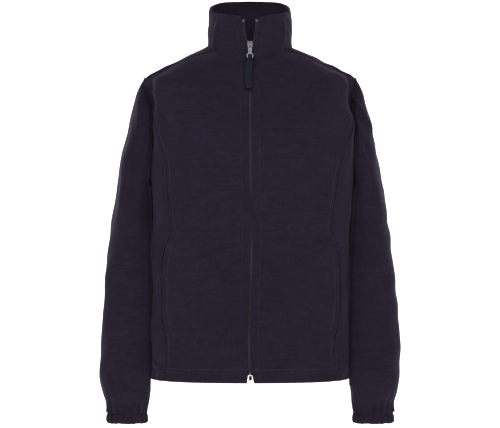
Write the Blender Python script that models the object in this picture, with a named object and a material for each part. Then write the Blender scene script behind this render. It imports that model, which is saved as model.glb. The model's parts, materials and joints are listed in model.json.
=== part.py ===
"""Women's fleece zip jacket with a stand collar, filled out as worn and empty inside.

Metres, +Z up, front towards -Y, the wearer's left towards +X. The origin is the middle of the neck, level with
the shoulders' highest points. Each piece of cloth is a wall between two grids of points: its face, and the same
points moved in by the cloth's thickness.

The body is one surface, read at a turn and a level. The turn is in degrees round the body: 0 at the centre
front, 90 at the wearer's left side, 180 at the centre back. The level runs from 0 at the hem to NECK_LEVEL at
the collar seam, in metres up the side of the body and then in over the shoulder.
"""

import math
from collections import namedtuple

import bmesh
import bpy
import numpy as np
from mathutils import Vector

# Cloth and gaps
CLOTH = 0.0026
HEM_CLOTH = 0.0042
COLLAR_CLOTH = 0.0044
CUFF_CLOTH = 0.0042
BAG_CLOTH = 0.0014
GAP = 0.0003

# Body
NECK_LEVEL = 0.675
HEM_STITCH_LEVEL = 0.024
HEM_RISE = 0.0007
UNDERARM_LEVEL = 0.369
SHOULDER_LEVEL = 0.556
ARMHOLE_FRONT = 27.0
ARMHOLE_BACK = 30.0
SHOULDER_SEAM_STOP = 150.0
PRINCESS_STOP = 108.7
NECK_SEAM_TURN = 60.0

Loop = namedtuple("Loop", "level half_width front back side_z front_z back_z square")
LOOPS = (
    Loop(0.000, 0.1880, 0.1290, 0.122, -0.6310, -0.6320, -0.6310, 0.08),
    Loop(0.060, 0.1878, 0.1300, 0.122, -0.5710, -0.5715, -0.5710, 0.07),
    Loop(0.150, 0.1868, 0.1280, 0.113, -0.4810, -0.4810, -0.4810, 0.07),
    Loop(0.255, 0.1855, 0.1240, 0.101, -0.3760, -0.3760, -0.3760, 0.07),
    Loop(0.330, 0.1860, 0.1280, 0.105, -0.3010, -0.3010, -0.3010, 0.08),
    Loop(0.369, 0.1868, 0.1310, 0.110, -0.2620, -0.2620, -0.2620, 0.08),
    Loop(0.411, 0.1875, 0.1325, 0.113, -0.2200, -0.2200, -0.2180, 0.08),
    Loop(0.470, 0.1880, 0.1300, 0.113, -0.1600, -0.1630, -0.1520, 0.08),
    Loop(0.520, 0.1930, 0.1210, 0.106, -0.1130, -0.1200, -0.0980, 0.07),
    Loop(0.556, 0.1985, 0.1130, 0.094, -0.0628, -0.0880, -0.0560, 0.06),
    Loop(0.590, 0.1680, 0.1070, 0.083, -0.0450, -0.0700, -0.0330, 0.05),
    Loop(0.620, 0.1380, 0.1020, 0.074, -0.0295, -0.0570, -0.0170, 0.04),
    Loop(0.650, 0.1090, 0.0975, 0.067, -0.0155, -0.0470, -0.0050, 0.03),
    Loop(0.675, 0.0795, 0.0935, 0.061, -0.0040, -0.0380, 0.0040, 0.02),
)

Seam = namedtuple("Seam", "level x")
PRINCESS = (
    Seam(0.000, 0.1590),
    Seam(0.040, 0.1560),
    Seam(0.083, 0.1570),
    Seam(0.111, 0.1615),
    Seam(0.150, 0.1640),
    Seam(0.201, 0.1635),
    Seam(0.231, 0.1600),
    Seam(0.255, 0.1530),
    Seam(0.272, 0.1455),
    Seam(0.300, 0.1460),
    Seam(0.357, 0.1515),
    Seam(0.390, 0.1560),
    Seam(0.422, 0.1625),
    Seam(0.466, 0.1720),
    Seam(0.4925, 0.1797),
)
ZIP_EDGE = (Seam(0.000, 0.0062), Seam(0.012, 0.0040), Seam(0.024, 0.0027), Seam(0.675, 0.0027))
ZIP_DRIFT = (
    Seam(0.000, 0.0010),
    Seam(0.040, -0.0012),
    Seam(0.240, 0.0028),
    Seam(0.420, 0.0008),
    Seam(0.560, 0.0),
    Seam(0.675, 0.0),
)
LOW_LEVELS = (
    0.0, 0.012, 0.0225, 0.026, 0.050, 0.083, 0.092, 0.120, 0.155, 0.190, 0.220, 0.245, 0.262, 0.290, 0.315,
    0.342,
)
BAG_ROWS = slice(4, 14)
FRONT_SHARES = (0.0, 0.10, 0.25, 0.40, 0.55, 0.70, 0.83, 0.93, 0.97, 1.0)
SIDE_SHARES = (0.0, 0.2, 0.4, 0.6, 0.8, 1.0)
SIDE_TIP_SHARE = 0.35
FRONT_ARMHOLE_STEPS = 8
SHOULDER_TIP_STEPS = 3
SHOULDER_SEAM_STEPS = 4
BACK_ARMHOLE_STEPS = 13
BACK_COLUMNS = 18
BACK_LEVELLING = 0.7

# Pocket mouths, in the princess seams
MOUTH_LOW = 0.084
MOUTH_HIGH = 0.265
MOUTH_FADE = 0.010
MOUTH_GAP = 0.0045
LIP_RISE = 0.0022
LIP_SHARES = (0.90, 0.99)
BAG_OFFSET = 0.0017
BAG_BEHIND_SIDE = 3.5
BAG_REACH = 21.0
BAG_COLUMNS = 6

# A fold runs from one (turn, level) to another; its height is negative for a trough
Fold = namedtuple("Fold", "turn_a level_a turn_b level_b width height")
BODY_FOLDS = (
    Fold(66, 0.470, 52, 0.400, 0.016, 0.0030),
    Fold(58, 0.500, 44, 0.450, 0.020, -0.0024),
    Fold(48, 0.330, 44, 0.200, 0.020, 0.0026),
    Fold(34, 0.290, 36, 0.100, 0.026, -0.0022),
    Fold(72, 0.300, 76, 0.060, 0.014, 0.0028),
    Fold(84, 0.330, 82, 0.120, 0.012, -0.0022),
    Fold(-63, 0.500, -50, 0.430, 0.018, 0.0028),
    Fold(-52, 0.380, -46, 0.260, 0.018, 0.0026),
    Fold(-38, 0.260, -34, 0.060, 0.026, 0.0022),
    Fold(-74, 0.320, -72, 0.080, 0.014, 0.0026),
    Fold(-84, 0.300, -86, 0.100, 0.012, -0.0024),
    Fold(24, 0.630, 34, 0.590, 0.012, -0.0018),
    Fold(-20, 0.640, -36, 0.600, 0.012, -0.0018),
    Fold(118, 0.430, 138, 0.330, 0.022, 0.0034),
    Fold(126, 0.360, 150, 0.270, 0.024, -0.0028),
    Fold(-116, 0.440, -140, 0.350, 0.022, 0.0034),
    Fold(-122, 0.370, -148, 0.250, 0.024, -0.0028),
    Fold(150, 0.230, 166, 0.080, 0.026, 0.0026),
    Fold(-154, 0.220, -166, 0.060, 0.028, 0.0028),
    Fold(172, 0.610, 150, 0.575, 0.018, -0.0022),
    Fold(-172, 0.610, -148, 0.572, 0.018, -0.0022),
    Fold(108, 0.250, 104, 0.060, 0.016, 0.0026),
    Fold(-106, 0.260, -108, 0.050, 0.016, 0.0026),
)
TURN_LENGTH = 0.16

# Hem puckers where its cord is drawn at the sides
PUCKER_TURNS = (58.0, 122.0)
PUCKER_DEPTH = 0.0016
PUCKER_LEVEL = 0.016
PUCKER_REACH = 12.0
PUCKER_RATE = 30.0

# Sleeves: rings from the armhole's outside to the cuff, x for the wearer's left
Ring = namedtuple("Ring", "outer_x outer_z inner_x inner_z front back middle_y")
RINGS = (
    Ring(0.2090, -0.0770, 0.1892, -0.2650, 0.068, 0.084, 0.000),
    Ring(0.2155, -0.0905, 0.1895, -0.2680, 0.070, 0.083, 0.001),
    Ring(0.2198, -0.1080, 0.1897, -0.2715, 0.072, 0.082, 0.002),
    Ring(0.2248, -0.1300, 0.1898, -0.2755, 0.073, 0.080, 0.003),
    Ring(0.2310, -0.1560, 0.1899, -0.2805, 0.073, 0.078, 0.004),
    Ring(0.2372, -0.1840, 0.1899, -0.2870, 0.072, 0.076, 0.004),
    Ring(0.2432, -0.2140, 0.1899, -0.2955, 0.070, 0.074, 0.004),
    Ring(0.2490, -0.2450, 0.1890, -0.3070, 0.068, 0.072, 0.004),
    Ring(0.2540, -0.2760, 0.1882, -0.3220, 0.067, 0.070, 0.004),
    Ring(0.2592, -0.3120, 0.1872, -0.3440, 0.065, 0.067, 0.003),
    Ring(0.2642, -0.3520, 0.1862, -0.3710, 0.062, 0.063, 0.001),
    Ring(0.2692, -0.3950, 0.1852, -0.4050, 0.058, 0.059, -0.002),
    Ring(0.2742, -0.4420, 0.1846, -0.4460, 0.054, 0.055, -0.006),
    Ring(0.2784, -0.4900, 0.1846, -0.4910, 0.050, 0.050, -0.010),
    Ring(0.2816, -0.5350, 0.1850, -0.5350, 0.047, 0.047, -0.014),
    Ring(0.2838, -0.5750, 0.1856, -0.5750, 0.044, 0.044, -0.018),
    Ring(0.2842, -0.6120, 0.1860, -0.6120, 0.042, 0.042, -0.022),
    Ring(0.2828, -0.6400, 0.1864, -0.6400, 0.040, 0.040, -0.024),
    Ring(0.2776, -0.6600, 0.1872, -0.6600, 0.037, 0.037, -0.025),
    Ring(0.2722, -0.6740, 0.1894, -0.6740, 0.032, 0.032, -0.026),
    Ring(0.2700, -0.6850, 0.1922, -0.6850, 0.029, 0.029, -0.026),
    Ring(0.2700, -0.6935, 0.1940, -0.6935, 0.028, 0.028, -0.026),
)
FAN_RINGS = 9
SLEEVE_CLEAR = 0.0012
SLEEVE_CLEAR_TOP = -0.266
SLEEVE_CLEAR_LOW = -0.645
SLEEVE_SQUARE = 0.06
GATHER_TOP = -0.648
GATHER_DEPTH = 0.0020
FOLD_FREE_RINGS = 3
FOLD_FREE_COSINES = (-0.2, -0.9)
SleeveFold = namedtuple("SleeveFold", "side turn_a z_a turn_b z_b width height")
SLEEVE_FOLDS = (
    SleeveFold(-1, 40, -0.090, 58, -0.300, 0.011, 0.0040),
    SleeveFold(-1, 82, -0.120, 96, -0.330, 0.014, -0.0034),
    SleeveFold(-1, 70, -0.360, 104, -0.430, 0.012, 0.0026),
    SleeveFold(-1, 60, -0.430, 100, -0.500, 0.014, -0.0026),
    SleeveFold(-1, 48, -0.520, 66, -0.640, 0.014, 0.0026),
    SleeveFold(-1, 250, -0.330, 300, -0.380, 0.013, -0.0034),
    SleeveFold(-1, 240, -0.380, 300, -0.420, 0.013, 0.0034),
    SleeveFold(-1, 300, -0.150, 280, -0.290, 0.016, 0.0034),
    SleeveFold(1, 84, -0.090, 26, -0.160, 0.010, 0.0040),
    SleeveFold(1, 100, -0.140, 60, -0.220, 0.012, -0.0034),
    SleeveFold(1, 56, -0.250, 74, -0.420, 0.016, 0.0026),
    SleeveFold(1, 98, -0.390, 60, -0.450, 0.012, -0.0026),
    SleeveFold(1, 64, -0.500, 54, -0.640, 0.016, 0.0028),
    SleeveFold(1, 250, -0.340, 300, -0.370, 0.013, 0.0034),
    SleeveFold(1, 244, -0.370, 300, -0.415, 0.013, -0.0034),
    SleeveFold(1, 290, -0.140, 272, -0.280, 0.016, 0.0034),
)
SLEEVE_TURN_LENGTH = 0.055

# Cuffs
CUFF_GATHERS = 20
CUFF_DEPTH = 0.0018
CUFF_TOP_SHARE = 0.55
CuffRing = namedtuple("CuffRing", "z outer_x inner_x depth")
CUFF_RINGS = (
    CuffRing(-0.6938, 0.2700, 0.1940, 0.0280),
    CuffRing(-0.6965, 0.2696, 0.1944, 0.0276),
    CuffRing(-0.7040, 0.2708, 0.1936, 0.0290),
    CuffRing(-0.7110, 0.2704, 0.1940, 0.0288),
    CuffRing(-0.7145, 0.2692, 0.1952, 0.0280),
)
CUFF_MIDDLE_Y = -0.026

# Collar: its upper edge, and the V where the zip is open
RIM_HALF_WIDTH = 0.0772
RIM_FRONT = 0.0880
RIM_BACK = 0.0710
Rim = namedtuple("Rim", "turn z")
RIM = (
    Rim(0.0, 0.0445),
    Rim(12.0, 0.0452),
    Rim(36.0, 0.0507),
    Rim(60.0, 0.0558),
    Rim(75.0, 0.0602),
    Rim(90.0, 0.0674),
    Rim(105.0, 0.0748),
    Rim(117.0, 0.0790),
    Rim(131.0, 0.0836),
    Rim(155.0, 0.0872),
    Rim(180.0, 0.0885),
)
RIM_CORNER_TURN = 11.0
RIM_CORNER_DROP = 0.0040
RIM_CORNER_WIDTH = 3.0
COLLAR_BULGE = 0.0016
COLLAR_COLUMNS = 36
COLLAR_RISES = (0.0, 0.07, 0.20, 0.32, 0.40, 0.46, 0.60, 0.74, 0.87, 0.96, 1.0)
Opening = namedtuple("Opening", "z x")
V_EDGE = (
    Opening(-0.038, 0.0027),
    Opening(-0.026, 0.0030),
    Opening(-0.012, 0.0060),
    Opening(0.000, 0.0076),
    Opening(0.006, 0.0099),
    Opening(0.012, 0.0112),
    Opening(0.024, 0.0132),
    Opening(0.040, 0.0152),
)
V_CHAIN = (
    Opening(-0.038, 0.00125),
    Opening(-0.009, 0.00125),
    Opening(-0.004, 0.0019),
    Opening(0.000, 0.0040),
    Opening(0.004, 0.0064),
    Opening(0.010, 0.0084),
    Opening(0.024, 0.0106),
    Opening(0.040, 0.0126),
)

# Zip: tape and chain, in a section of (distance from the chain's middle, depth behind the cloth)
TAPE_REACH = 0.0120
TAPE = 0.0008
TAPE_GAP = 0.0005
CHAIN_HALF = 0.0011
CHAIN_FRONT = 0.0016
CHAIN_BACK = 0.0009
ZIP_LOW_LEVEL = 0.0135
ZIP_NECK_LEVEL = 0.672
ZIP_NECK_DEPTH = 0.0055
ZIP_TOP_Z = 0.0362

# Metal at the zip's ends
STOP_HALF_WIDTH = 0.0015
STOP_HEIGHT = 0.0045
STOP_DEPTH = 0.0030
STOP_CORNER = 0.0010
STOP_INSET = 0.0012
STOP_RISE = 0.9
BOX_HALF_WIDTH = 0.0028
BOX_LOW_LEVEL = 0.0045
BOX_CORNER = 0.0008
BOX_INSET = 0.0008
BOX_DEPTH = 0.0038
BOX_CLEAR = 0.0006

# Slider and its pull
SLIDER_Z = -0.0055
SLIDER_HALF_HEIGHT = 0.0055
SLIDER_HALF_WIDTH = 0.0052
SLIDER_CORNER = 0.0020
PLATE = 0.0013
WEDGE_HALF_WIDTH = 0.0015
WEDGE_TIP = 0.0005
WEDGE_HEIGHT = 0.0034
PIVOT_Z = -0.0062
PIVOT_PROUD = 0.0006
BAIL_INNER = 0.0011
BAIL_OUTER = 0.0023
BAIL_HALF_WIDTH = 0.0010
BAIL_STEPS = 8
PULL_LEAN = 16.0

# The tab and the puller hang from the pivot: half their width at each height below it
Half = namedtuple("Half", "width z")
TAB = 0.0013
TAB_LENGTH = 0.0270
TAB_OUTLINE = (
    Half(0.0030, 0.0007),
    Half(0.0035, 0.0000),
    Half(0.0036, -0.0080),
    Half(0.0032, -0.0130),
    Half(0.0028, -0.0155),
    Half(0.0036, -0.0172),
    Half(0.0053, -0.0186),
    Half(0.0061, -0.0205),
    Half(0.0061, -0.0240),
    Half(0.0051, -0.0262),
    Half(0.0034, -TAB_LENGTH),
)
EYE_HALF_WIDTH = 0.0018
EYE_LOW_Z = -0.0066
EYE_HIGH_Z = -0.0007
EYE_CORNER = 0.0012
RING_HALF_WIDTH = 0.0042
RING_LOW_Z = -0.0246
RING_HIGH_Z = -0.0194
RING_CORNER = 0.0008
PULLER_CLOTH = 0.0042
PULLER_HALF_WIDTH = 0.0062
PULLER_LOW_Z = -0.0870
PULLER_OUTLINE = (
    Half(0.0032, -0.0212),
    Half(0.0036, -0.0224),
    Half(0.0038, -0.0275),
    Half(PULLER_HALF_WIDTH, -0.0325),
    Half(PULLER_HALF_WIDTH, PULLER_LOW_Z + 0.0050),
    Half(PULLER_HALF_WIDTH + 0.0004, PULLER_LOW_Z + 0.0040),
    Half(PULLER_HALF_WIDTH + 0.0004, PULLER_LOW_Z + 0.0008),
    Half(PULLER_HALF_WIDTH - 0.0006, PULLER_LOW_Z),
)
PULLER_WINDOW_Z = -0.0243
PULLER_WINDOW_DEPTH = 0.0031

# Steps for the surfaces' directions
SMALL_TURN = 0.2
SMALL_LEVEL = 0.0008
SMALL_RISE = 0.01
SOLVING_ROUNDS = 12


def clear_scene():
    """Removes whatever the file opened with."""
    for obj in list(bpy.data.objects):
        bpy.data.objects.remove(obj, do_unlink=True)


def finish(name, colour, roughness, metallic=0.0):
    """A material of one colour."""
    material = bpy.data.materials.new(name)
    material.use_nodes = True
    shader = material.node_tree.nodes["Principled BSDF"]
    shader.inputs["Base Color"].default_value = (*colour, 1.0)
    shader.inputs["Roughness"].default_value = roughness
    shader.inputs["Metallic"].default_value = metallic
    return material


def unit(vectors):
    """Each vector at length 1."""
    return vectors / np.linalg.norm(vectors, axis=-1, keepdims=True)


def smooth_step(low, high, at):
    """0 below low, 1 above high, and an even curve between."""
    share = np.clip((np.asarray(at, float) - low) / (high - low), 0.0, 1.0)
    return share * share * (3.0 - 2.0 * share)


def read_table(table, station, column, at):
    """A smooth curve through one column of a table, read where the station column has the values at."""
    stations = np.array([getattr(row, station) for row in table], float)
    values = np.array([getattr(row, column) for row in table], float)
    slopes = np.gradient(values, stations)
    at = np.asarray(at, float)
    low = np.clip(np.searchsorted(stations, at, side="right") - 1, 0, len(stations) - 2)
    step = stations[low + 1] - stations[low]
    t = (at - stations[low]) / step
    start = values[low] * (1 + 2 * t) * (1 - t) ** 2 + slopes[low] * step * t * (1 - t) ** 2
    end = values[low + 1] * t * t * (3 - 2 * t) + slopes[low + 1] * step * t * t * (t - 1)
    return start + end


def read_straight(table, station, column, at):
    """Straight lines through one column of a table, read where the station column has the values at."""
    stations = [getattr(row, station) for row in table]
    return np.interp(at, stations, [getattr(row, column) for row in table])


def surface_normal(surface, turn, level, turn_step=SMALL_TURN, level_step=SMALL_LEVEL):
    """The outward direction of surface(turn, level)."""
    across = surface(turn + turn_step, level) - surface(turn - turn_step, level)
    along = surface(turn, level + level_step) - surface(turn, level - level_step)
    return unit(np.cross(across, along))


def body_form(turn, level):
    """The body's smooth form, before folds."""
    turn, level = np.broadcast_arrays(np.asarray(turn, float), np.asarray(level, float))
    part = {name: read_table(LOOPS, "level", name, level) for name in Loop._fields[1:]}
    sine, cosine = np.sin(np.radians(turn)), np.cos(np.radians(turn))
    boost = 1.0 + part["square"] * np.sin(np.radians(2 * turn)) ** 2
    front = cosine > 0
    depth = np.where(front, part["front"], part["back"])
    end_z = np.where(front, part["front_z"], part["back_z"])
    x = part["half_width"] * sine * boost
    y = -depth * cosine * boost
    z = part["side_z"] + (end_z - part["side_z"]) * cosine**2
    return np.stack([x, y, z], axis=-1)


def fold_height(turn, level):
    """How far the folds lift the body's cloth."""
    turn = (np.asarray(turn, float) + 180.0) % 360.0 - 180.0
    height = np.zeros(np.broadcast(turn, level).shape)
    for fold in BODY_FOLDS:
        a = np.array([math.radians(fold.turn_a) * TURN_LENGTH, fold.level_a])
        b = np.array([math.radians(fold.turn_b) * TURN_LENGTH, fold.level_b])
        height = height + ridge(np.radians(turn) * TURN_LENGTH, level, a, b, fold.width, fold.height)
    for pucker in PUCKER_TURNS:
        off = np.abs(turn) - pucker
        wave = np.cos(np.radians(off * PUCKER_RATE)) * np.exp(-((off / PUCKER_REACH) ** 2))
        height = height + PUCKER_DEPTH * wave * np.exp(-((level / PUCKER_LEVEL) ** 2))
    return height


def ridge(across, along, a, b, width, height):
    """A soft ridge over the straight line from a to b, fading at its ends."""
    run = b - a
    share = ((across - a[0]) * run[0] + (along - a[1]) * run[1]) / (run @ run)
    held = np.clip(share, 0.0, 1.0)
    off = (across - a[0] - held * run[0]) ** 2 + (along - a[1] - held * run[1]) ** 2
    fade = 0.55 + 0.45 * np.sin(math.pi * held)
    return height * fade * np.exp(-off / width**2)


def body_face(turn, level):
    """A point on the outside of the body's cloth."""
    lift = fold_height(turn, level)
    hem = HEM_RISE * (1.0 - smooth_step(HEM_STITCH_LEVEL, HEM_STITCH_LEVEL + 0.002, level))
    return body_form(turn, level) + surface_normal(body_form, turn, level) * (lift + hem)[..., None]


def body_thickness(level):
    """The hem is turned up, so its wall is thicker."""
    hem = 1.0 - smooth_step(HEM_STITCH_LEVEL, HEM_STITCH_LEVEL + 0.002, level)
    return CLOTH + (HEM_CLOTH - CLOTH) * hem


def turn_at(x, level):
    """The turn on the front where the body's form has this x."""
    half_width = read_table(LOOPS, "level", "half_width", level)
    square = read_table(LOOPS, "level", "square", level)
    turn = np.zeros(np.broadcast(x, level).shape)
    for _ in range(SOLVING_ROUNDS):
        boost = 1.0 + square * np.sin(2 * turn) ** 2
        turn = np.arcsin(np.clip(x / (half_width * boost), -1.0, 1.0))
    return np.degrees(turn)


def armhole(angle):
    """A (turn, level) on the left armhole: 0 is the underarm, 90 the front, 180 the shoulder, 270 the back."""
    angle = np.asarray(angle, float)
    sine = np.sin(np.radians(angle))
    turn = 90.0 - np.where(sine > 0, ARMHOLE_FRONT, ARMHOLE_BACK) * sine
    middle = (UNDERARM_LEVEL + SHOULDER_LEVEL) / 2
    level = middle - (SHOULDER_LEVEL - UNDERARM_LEVEL) / 2 * np.cos(np.radians(angle))
    return np.stack([turn, level], axis=-1)


def straight(start, end, steps):
    """Points from start to end, without the first."""
    share = np.linspace(0.0, 1.0, steps + 1)[1:, None]
    return np.asarray(start) * (1 - share) + np.asarray(end) * share


def princess_edge():
    """The princess seam from the hem to the armhole, as (turn, level) points."""
    high = np.linspace(UNDERARM_LEVEL, PRINCESS[-1].level, FRONT_ARMHOLE_STEPS + 1)
    levels = np.concatenate([LOW_LEVELS, high])
    return np.stack([turn_at(read_table(PRINCESS, "level", "x", levels), levels), levels], axis=-1)


def shoulder_edge():
    """The shoulder seam from the armhole to the neck, without its first point."""
    return straight(armhole(SHOULDER_SEAM_STOP), (NECK_SEAM_TURN, NECK_LEVEL), SHOULDER_SEAM_STEPS)


def side_edge():
    """The side seam up to the underarm."""
    levels = np.array(LOW_LEVELS + (UNDERARM_LEVEL,))
    return np.stack([np.full(len(levels), 90.0), levels], axis=-1)


def front_levels():
    """The levels of the rows of the fronts and of the zip."""
    upper = np.linspace(PRINCESS[-1].level, NECK_LEVEL, SHOULDER_TIP_STEPS + SHOULDER_SEAM_STEPS + 1)[1:]
    return np.concatenate([princess_edge()[:, 1], upper])


def zip_edge(levels, side):
    """The front's edge beside the zip, on the left (1) or right (-1), as (turn, level) points of the left."""
    x = read_straight(ZIP_EDGE, "level", "x", levels) + side * read_table(ZIP_DRIFT, "level", "x", levels)
    return np.stack([turn_at(x, levels), levels], axis=-1)


def between(first, last, shares):
    """A grid of (turn, level) whose columns lie at these shares of the way between two edges."""
    shares = np.asarray(shares, float)[None, :, None]
    return first[:, None, :] * (1 - shares) + last[:, None, :] * shares


def for_side(grid, side):
    """The grid as it is for the left, and mirrored, its columns kept running the same way, for the right."""
    if side > 0:
        return grid
    mirrored = grid[:, ::-1].copy()
    mirrored[..., 0] *= -1
    return mirrored


def draw_in(face, back, first_column=0.0, last_column=0.0, first_row=0.0, last_row=0.0):
    """Moves a wall's edges in by these distances, square to each edge."""
    for distance, edge, inner in (
        (first_column, np.s_[:, 0], np.s_[:, 1]),
        (last_column, np.s_[:, -1], np.s_[:, -2]),
        (first_row, np.s_[0, :], np.s_[1, :]),
        (last_row, np.s_[-1, :], np.s_[-2, :]),
    ):
        if distance:
            along = unit(np.gradient(face[edge], axis=0))
            inward = face[inner] - face[edge]
            inward = inward - (inward * along).sum(axis=-1, keepdims=True) * along
            move = unit(inward) * distance
            face[edge] += move
            back[edge] += move


def build(name, points, faces, material):
    """A mesh object, shaded smooth but for its sharp edges."""
    mesh = bpy.data.meshes.new(name)
    mesh.from_pydata([tuple(map(float, point)) for point in points], [], faces)
    mesh.materials.append(material)
    mesh.shade_smooth()
    mesh.set_sharp_from_angle(angle=math.radians(50))
    obj = bpy.data.objects.new(name, mesh)
    bpy.context.scene.collection.objects.link(obj)
    return obj


def wall(name, face, back, material, ring=False, low_lip=0.0, high_lip=0.0):
    """A closed wall between a grid and its back. A lip rounds the edge at the first or the last row."""
    rows, columns = face.shape[:2]
    strips = [face]
    if high_lip:
        middle = (face[-1] + back[-1]) / 2
        strips.append((middle + unit(face[-1] - face[-2]) * high_lip)[None])
    strips.append(back[::-1])
    if low_lip:
        middle = (face[0] + back[0]) / 2
        strips.append((middle + unit(face[0] - face[1]) * low_lip)[None])
    loop = np.concatenate(strips)
    around = len(loop)

    def index(i, j):
        return (i % around) * columns + j % columns

    faces = []
    for i in range(around):
        for j in range(columns if ring else columns - 1):
            faces.append((index(i, j), index(i, j + 1), index(i + 1, j + 1), index(i + 1, j)))
    if not ring:
        top = rows + bool(high_lip)
        for j, turned in ((0, False), (columns - 1, True)):
            ends = []
            for i in range(rows - 1):
                far = top + rows - 1 - i
                ends.append((index(i, j), index(i + 1, j), index(far - 1, j), index(far, j)))
            if high_lip:
                ends.append((index(rows - 1, j), index(rows, j), index(rows + 1, j)))
            if low_lip:
                ends.append((index(around - 2, j), index(around - 1, j), index(0, j)))
            faces += [end[::-1] if turned else end for end in ends]
    return build(name, loop.reshape(-1, 3), faces, material)


def body_panel(name, grid, material, lift=None, **seams):
    """A wall on the body over a grid of (turn, level). The lift raises its face and thickens it as much."""
    turn, level = grid[..., 0], grid[..., 1]
    face = body_face(turn, level)
    normal = surface_normal(body_face, turn, level)
    back = face - normal * body_thickness(level)[..., None]
    if lift is not None:
        face = face + normal * lift[..., None]
    draw_in(face, back, **seams)
    return wall(name, face, back, material, low_lip=HEM_CLOTH / 4 if level[0, 0] == 0.0 else 0.0)


def mouth(level):
    """1 along a pocket mouth, 0 above and below it."""
    rising = smooth_step(MOUTH_LOW, MOUTH_LOW + MOUTH_FADE, level)
    return rising * (1.0 - smooth_step(MOUTH_HIGH - MOUTH_FADE, MOUTH_HIGH, level))


def build_front(side, name, material):
    """The front from the zip to the princess seam, and above it to the armhole and the shoulder seam."""
    tip = armhole(np.linspace(PRINCESS_STOP, SHOULDER_SEAM_STOP, SHOULDER_TIP_STEPS + 1)[1:])
    outer = np.concatenate([princess_edge(), tip, shoulder_edge()])
    grid = between(zip_edge(front_levels(), side), outer, FRONT_SHARES)
    lip = smooth_step(*LIP_SHARES, np.array(FRONT_SHARES))[None, :] * mouth(grid[..., 1]) * LIP_RISE
    lip = lip if side > 0 else lip[:, ::-1]
    seam = "last_column" if side > 0 else "first_column"
    return body_panel(name, for_side(grid, side), material, lip, **{seam: GAP / 2, "last_row": GAP / 2})


def build_side_front(side, name, material):
    """The side front, from the princess seam to the side seam, ending in a point at the armhole."""
    inner = princess_edge()
    inner[:, 0] += mouth(inner[:, 1]) * math.degrees(MOUTH_GAP / LOOPS[0].half_width)
    low = side_edge()
    high = armhole(np.linspace(0.0, PRINCESS_STOP, FRONT_ARMHOLE_STEPS + 1)[1:])
    outer = np.concatenate([low, high])
    grid = between(inner, outer, SIDE_SHARES)
    grid[-1] = grid[-2] * SIDE_TIP_SHARE + grid[-1] * (1.0 - SIDE_TIP_SHARE)
    return body_panel(name, for_side(grid, side), material, first_column=GAP / 2, last_column=GAP / 2)


def build_back(material):
    """The back, from side seam to side seam and forward over both shoulders."""
    low = side_edge()
    high = armhole(np.linspace(360.0, SHOULDER_SEAM_STOP, BACK_ARMHOLE_STEPS + 1)[1:])
    left = np.concatenate([low, high, shoulder_edge()])
    right = left.copy()
    right[:, 0] = 360.0 - right[:, 0]
    grid = between(left, right, np.linspace(0.0, 1.0, BACK_COLUMNS + 1))
    upper = len(left) - len(low)
    centre = np.concatenate([low[:, 1], np.linspace(UNDERARM_LEVEL, NECK_LEVEL, upper + 1)[1:]])
    weight = np.sin(np.pi * np.linspace(0.0, 1.0, BACK_COLUMNS + 1))[None, :] ** BACK_LEVELLING
    grid[..., 1] = grid[..., 1] * (1 - weight) + centre[:, None] * weight
    return body_panel("back", grid, material, first_column=GAP / 2, last_column=GAP / 2, last_row=GAP / 2)


def build_pocket_bag(side, name, material):
    """The flat bag behind the front, which closes the pocket mouth from inside."""
    levels = np.array(LOW_LEVELS[BAG_ROWS])
    edge = turn_at(read_table(PRINCESS, "level", "x", levels), levels)
    outer = np.stack([edge + BAG_BEHIND_SIDE, levels], axis=-1)
    inner = np.stack([np.full(len(levels), edge.min() - BAG_REACH), levels], axis=-1)
    grid = for_side(between(inner, outer, np.linspace(0.0, 1.0, BAG_COLUMNS + 1)), side)
    turn, level = grid[..., 0], grid[..., 1]
    normal = surface_normal(body_face, turn, level)
    face = body_face(turn, level) - normal * (CLOTH + BAG_OFFSET)
    return wall(name, face, face - normal * BAG_CLOTH, material)


def collar_point(turn, rise):
    """A point on the outside of the collar, from its seam at rise 0 to its upper edge at rise 1."""
    turn, rise = np.broadcast_arrays(np.asarray(turn, float), np.asarray(rise, float))
    sine, cosine = np.sin(np.radians(turn)), np.cos(np.radians(turn))
    low = body_form(turn, NECK_LEVEL)
    off_centre = np.abs((turn + 180.0) % 360.0 - 180.0)
    past_corner = (off_centre - RIM_CORNER_TURN).clip(0.0)
    corner = RIM_CORNER_DROP * np.exp(-((past_corner / RIM_CORNER_WIDTH) ** 2))
    x = RIM_HALF_WIDTH * sine
    y = -np.where(cosine > 0, RIM_FRONT, RIM_BACK) * cosine
    z = read_table(RIM, "turn", "z", off_centre) - corner
    high = np.stack([x, y, z], axis=-1)
    out = np.stack([sine, -cosine, np.zeros_like(sine)], axis=-1)
    bulge = COLLAR_BULGE * np.sin(np.pi * rise)
    return low * (1 - rise[..., None]) + high * rise[..., None] + out * bulge[..., None]


def collar_normal(turn, rise):
    """The outward direction of the collar."""
    return surface_normal(collar_point, np.asarray(turn), np.asarray(rise), SMALL_TURN, SMALL_RISE)


def build_collar(material):
    """The doubled collar, a C whose ends open in a V above the slider."""
    rises = np.array(COLLAR_RISES)
    centre_z = collar_point(0.0, rises)[:, 2]
    edge = np.degrees(np.arcsin(read_straight(V_EDGE, "z", "x", centre_z) / RIM_HALF_WIDTH))
    first = np.stack([edge, rises], axis=-1)
    last = np.stack([360.0 - edge, rises], axis=-1)
    grid = between(first, last, np.linspace(0.0, 1.0, COLLAR_COLUMNS + 1))
    turn, rise = grid[..., 0], grid[..., 1]
    face = collar_point(turn, rise)
    normal = collar_normal(turn, rise)
    back = face - normal * COLLAR_CLOTH
    draw_in(face, back, first_row=GAP / 2)
    return wall("collar", face, back, material, high_lip=COLLAR_CLOTH / 3)


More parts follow.
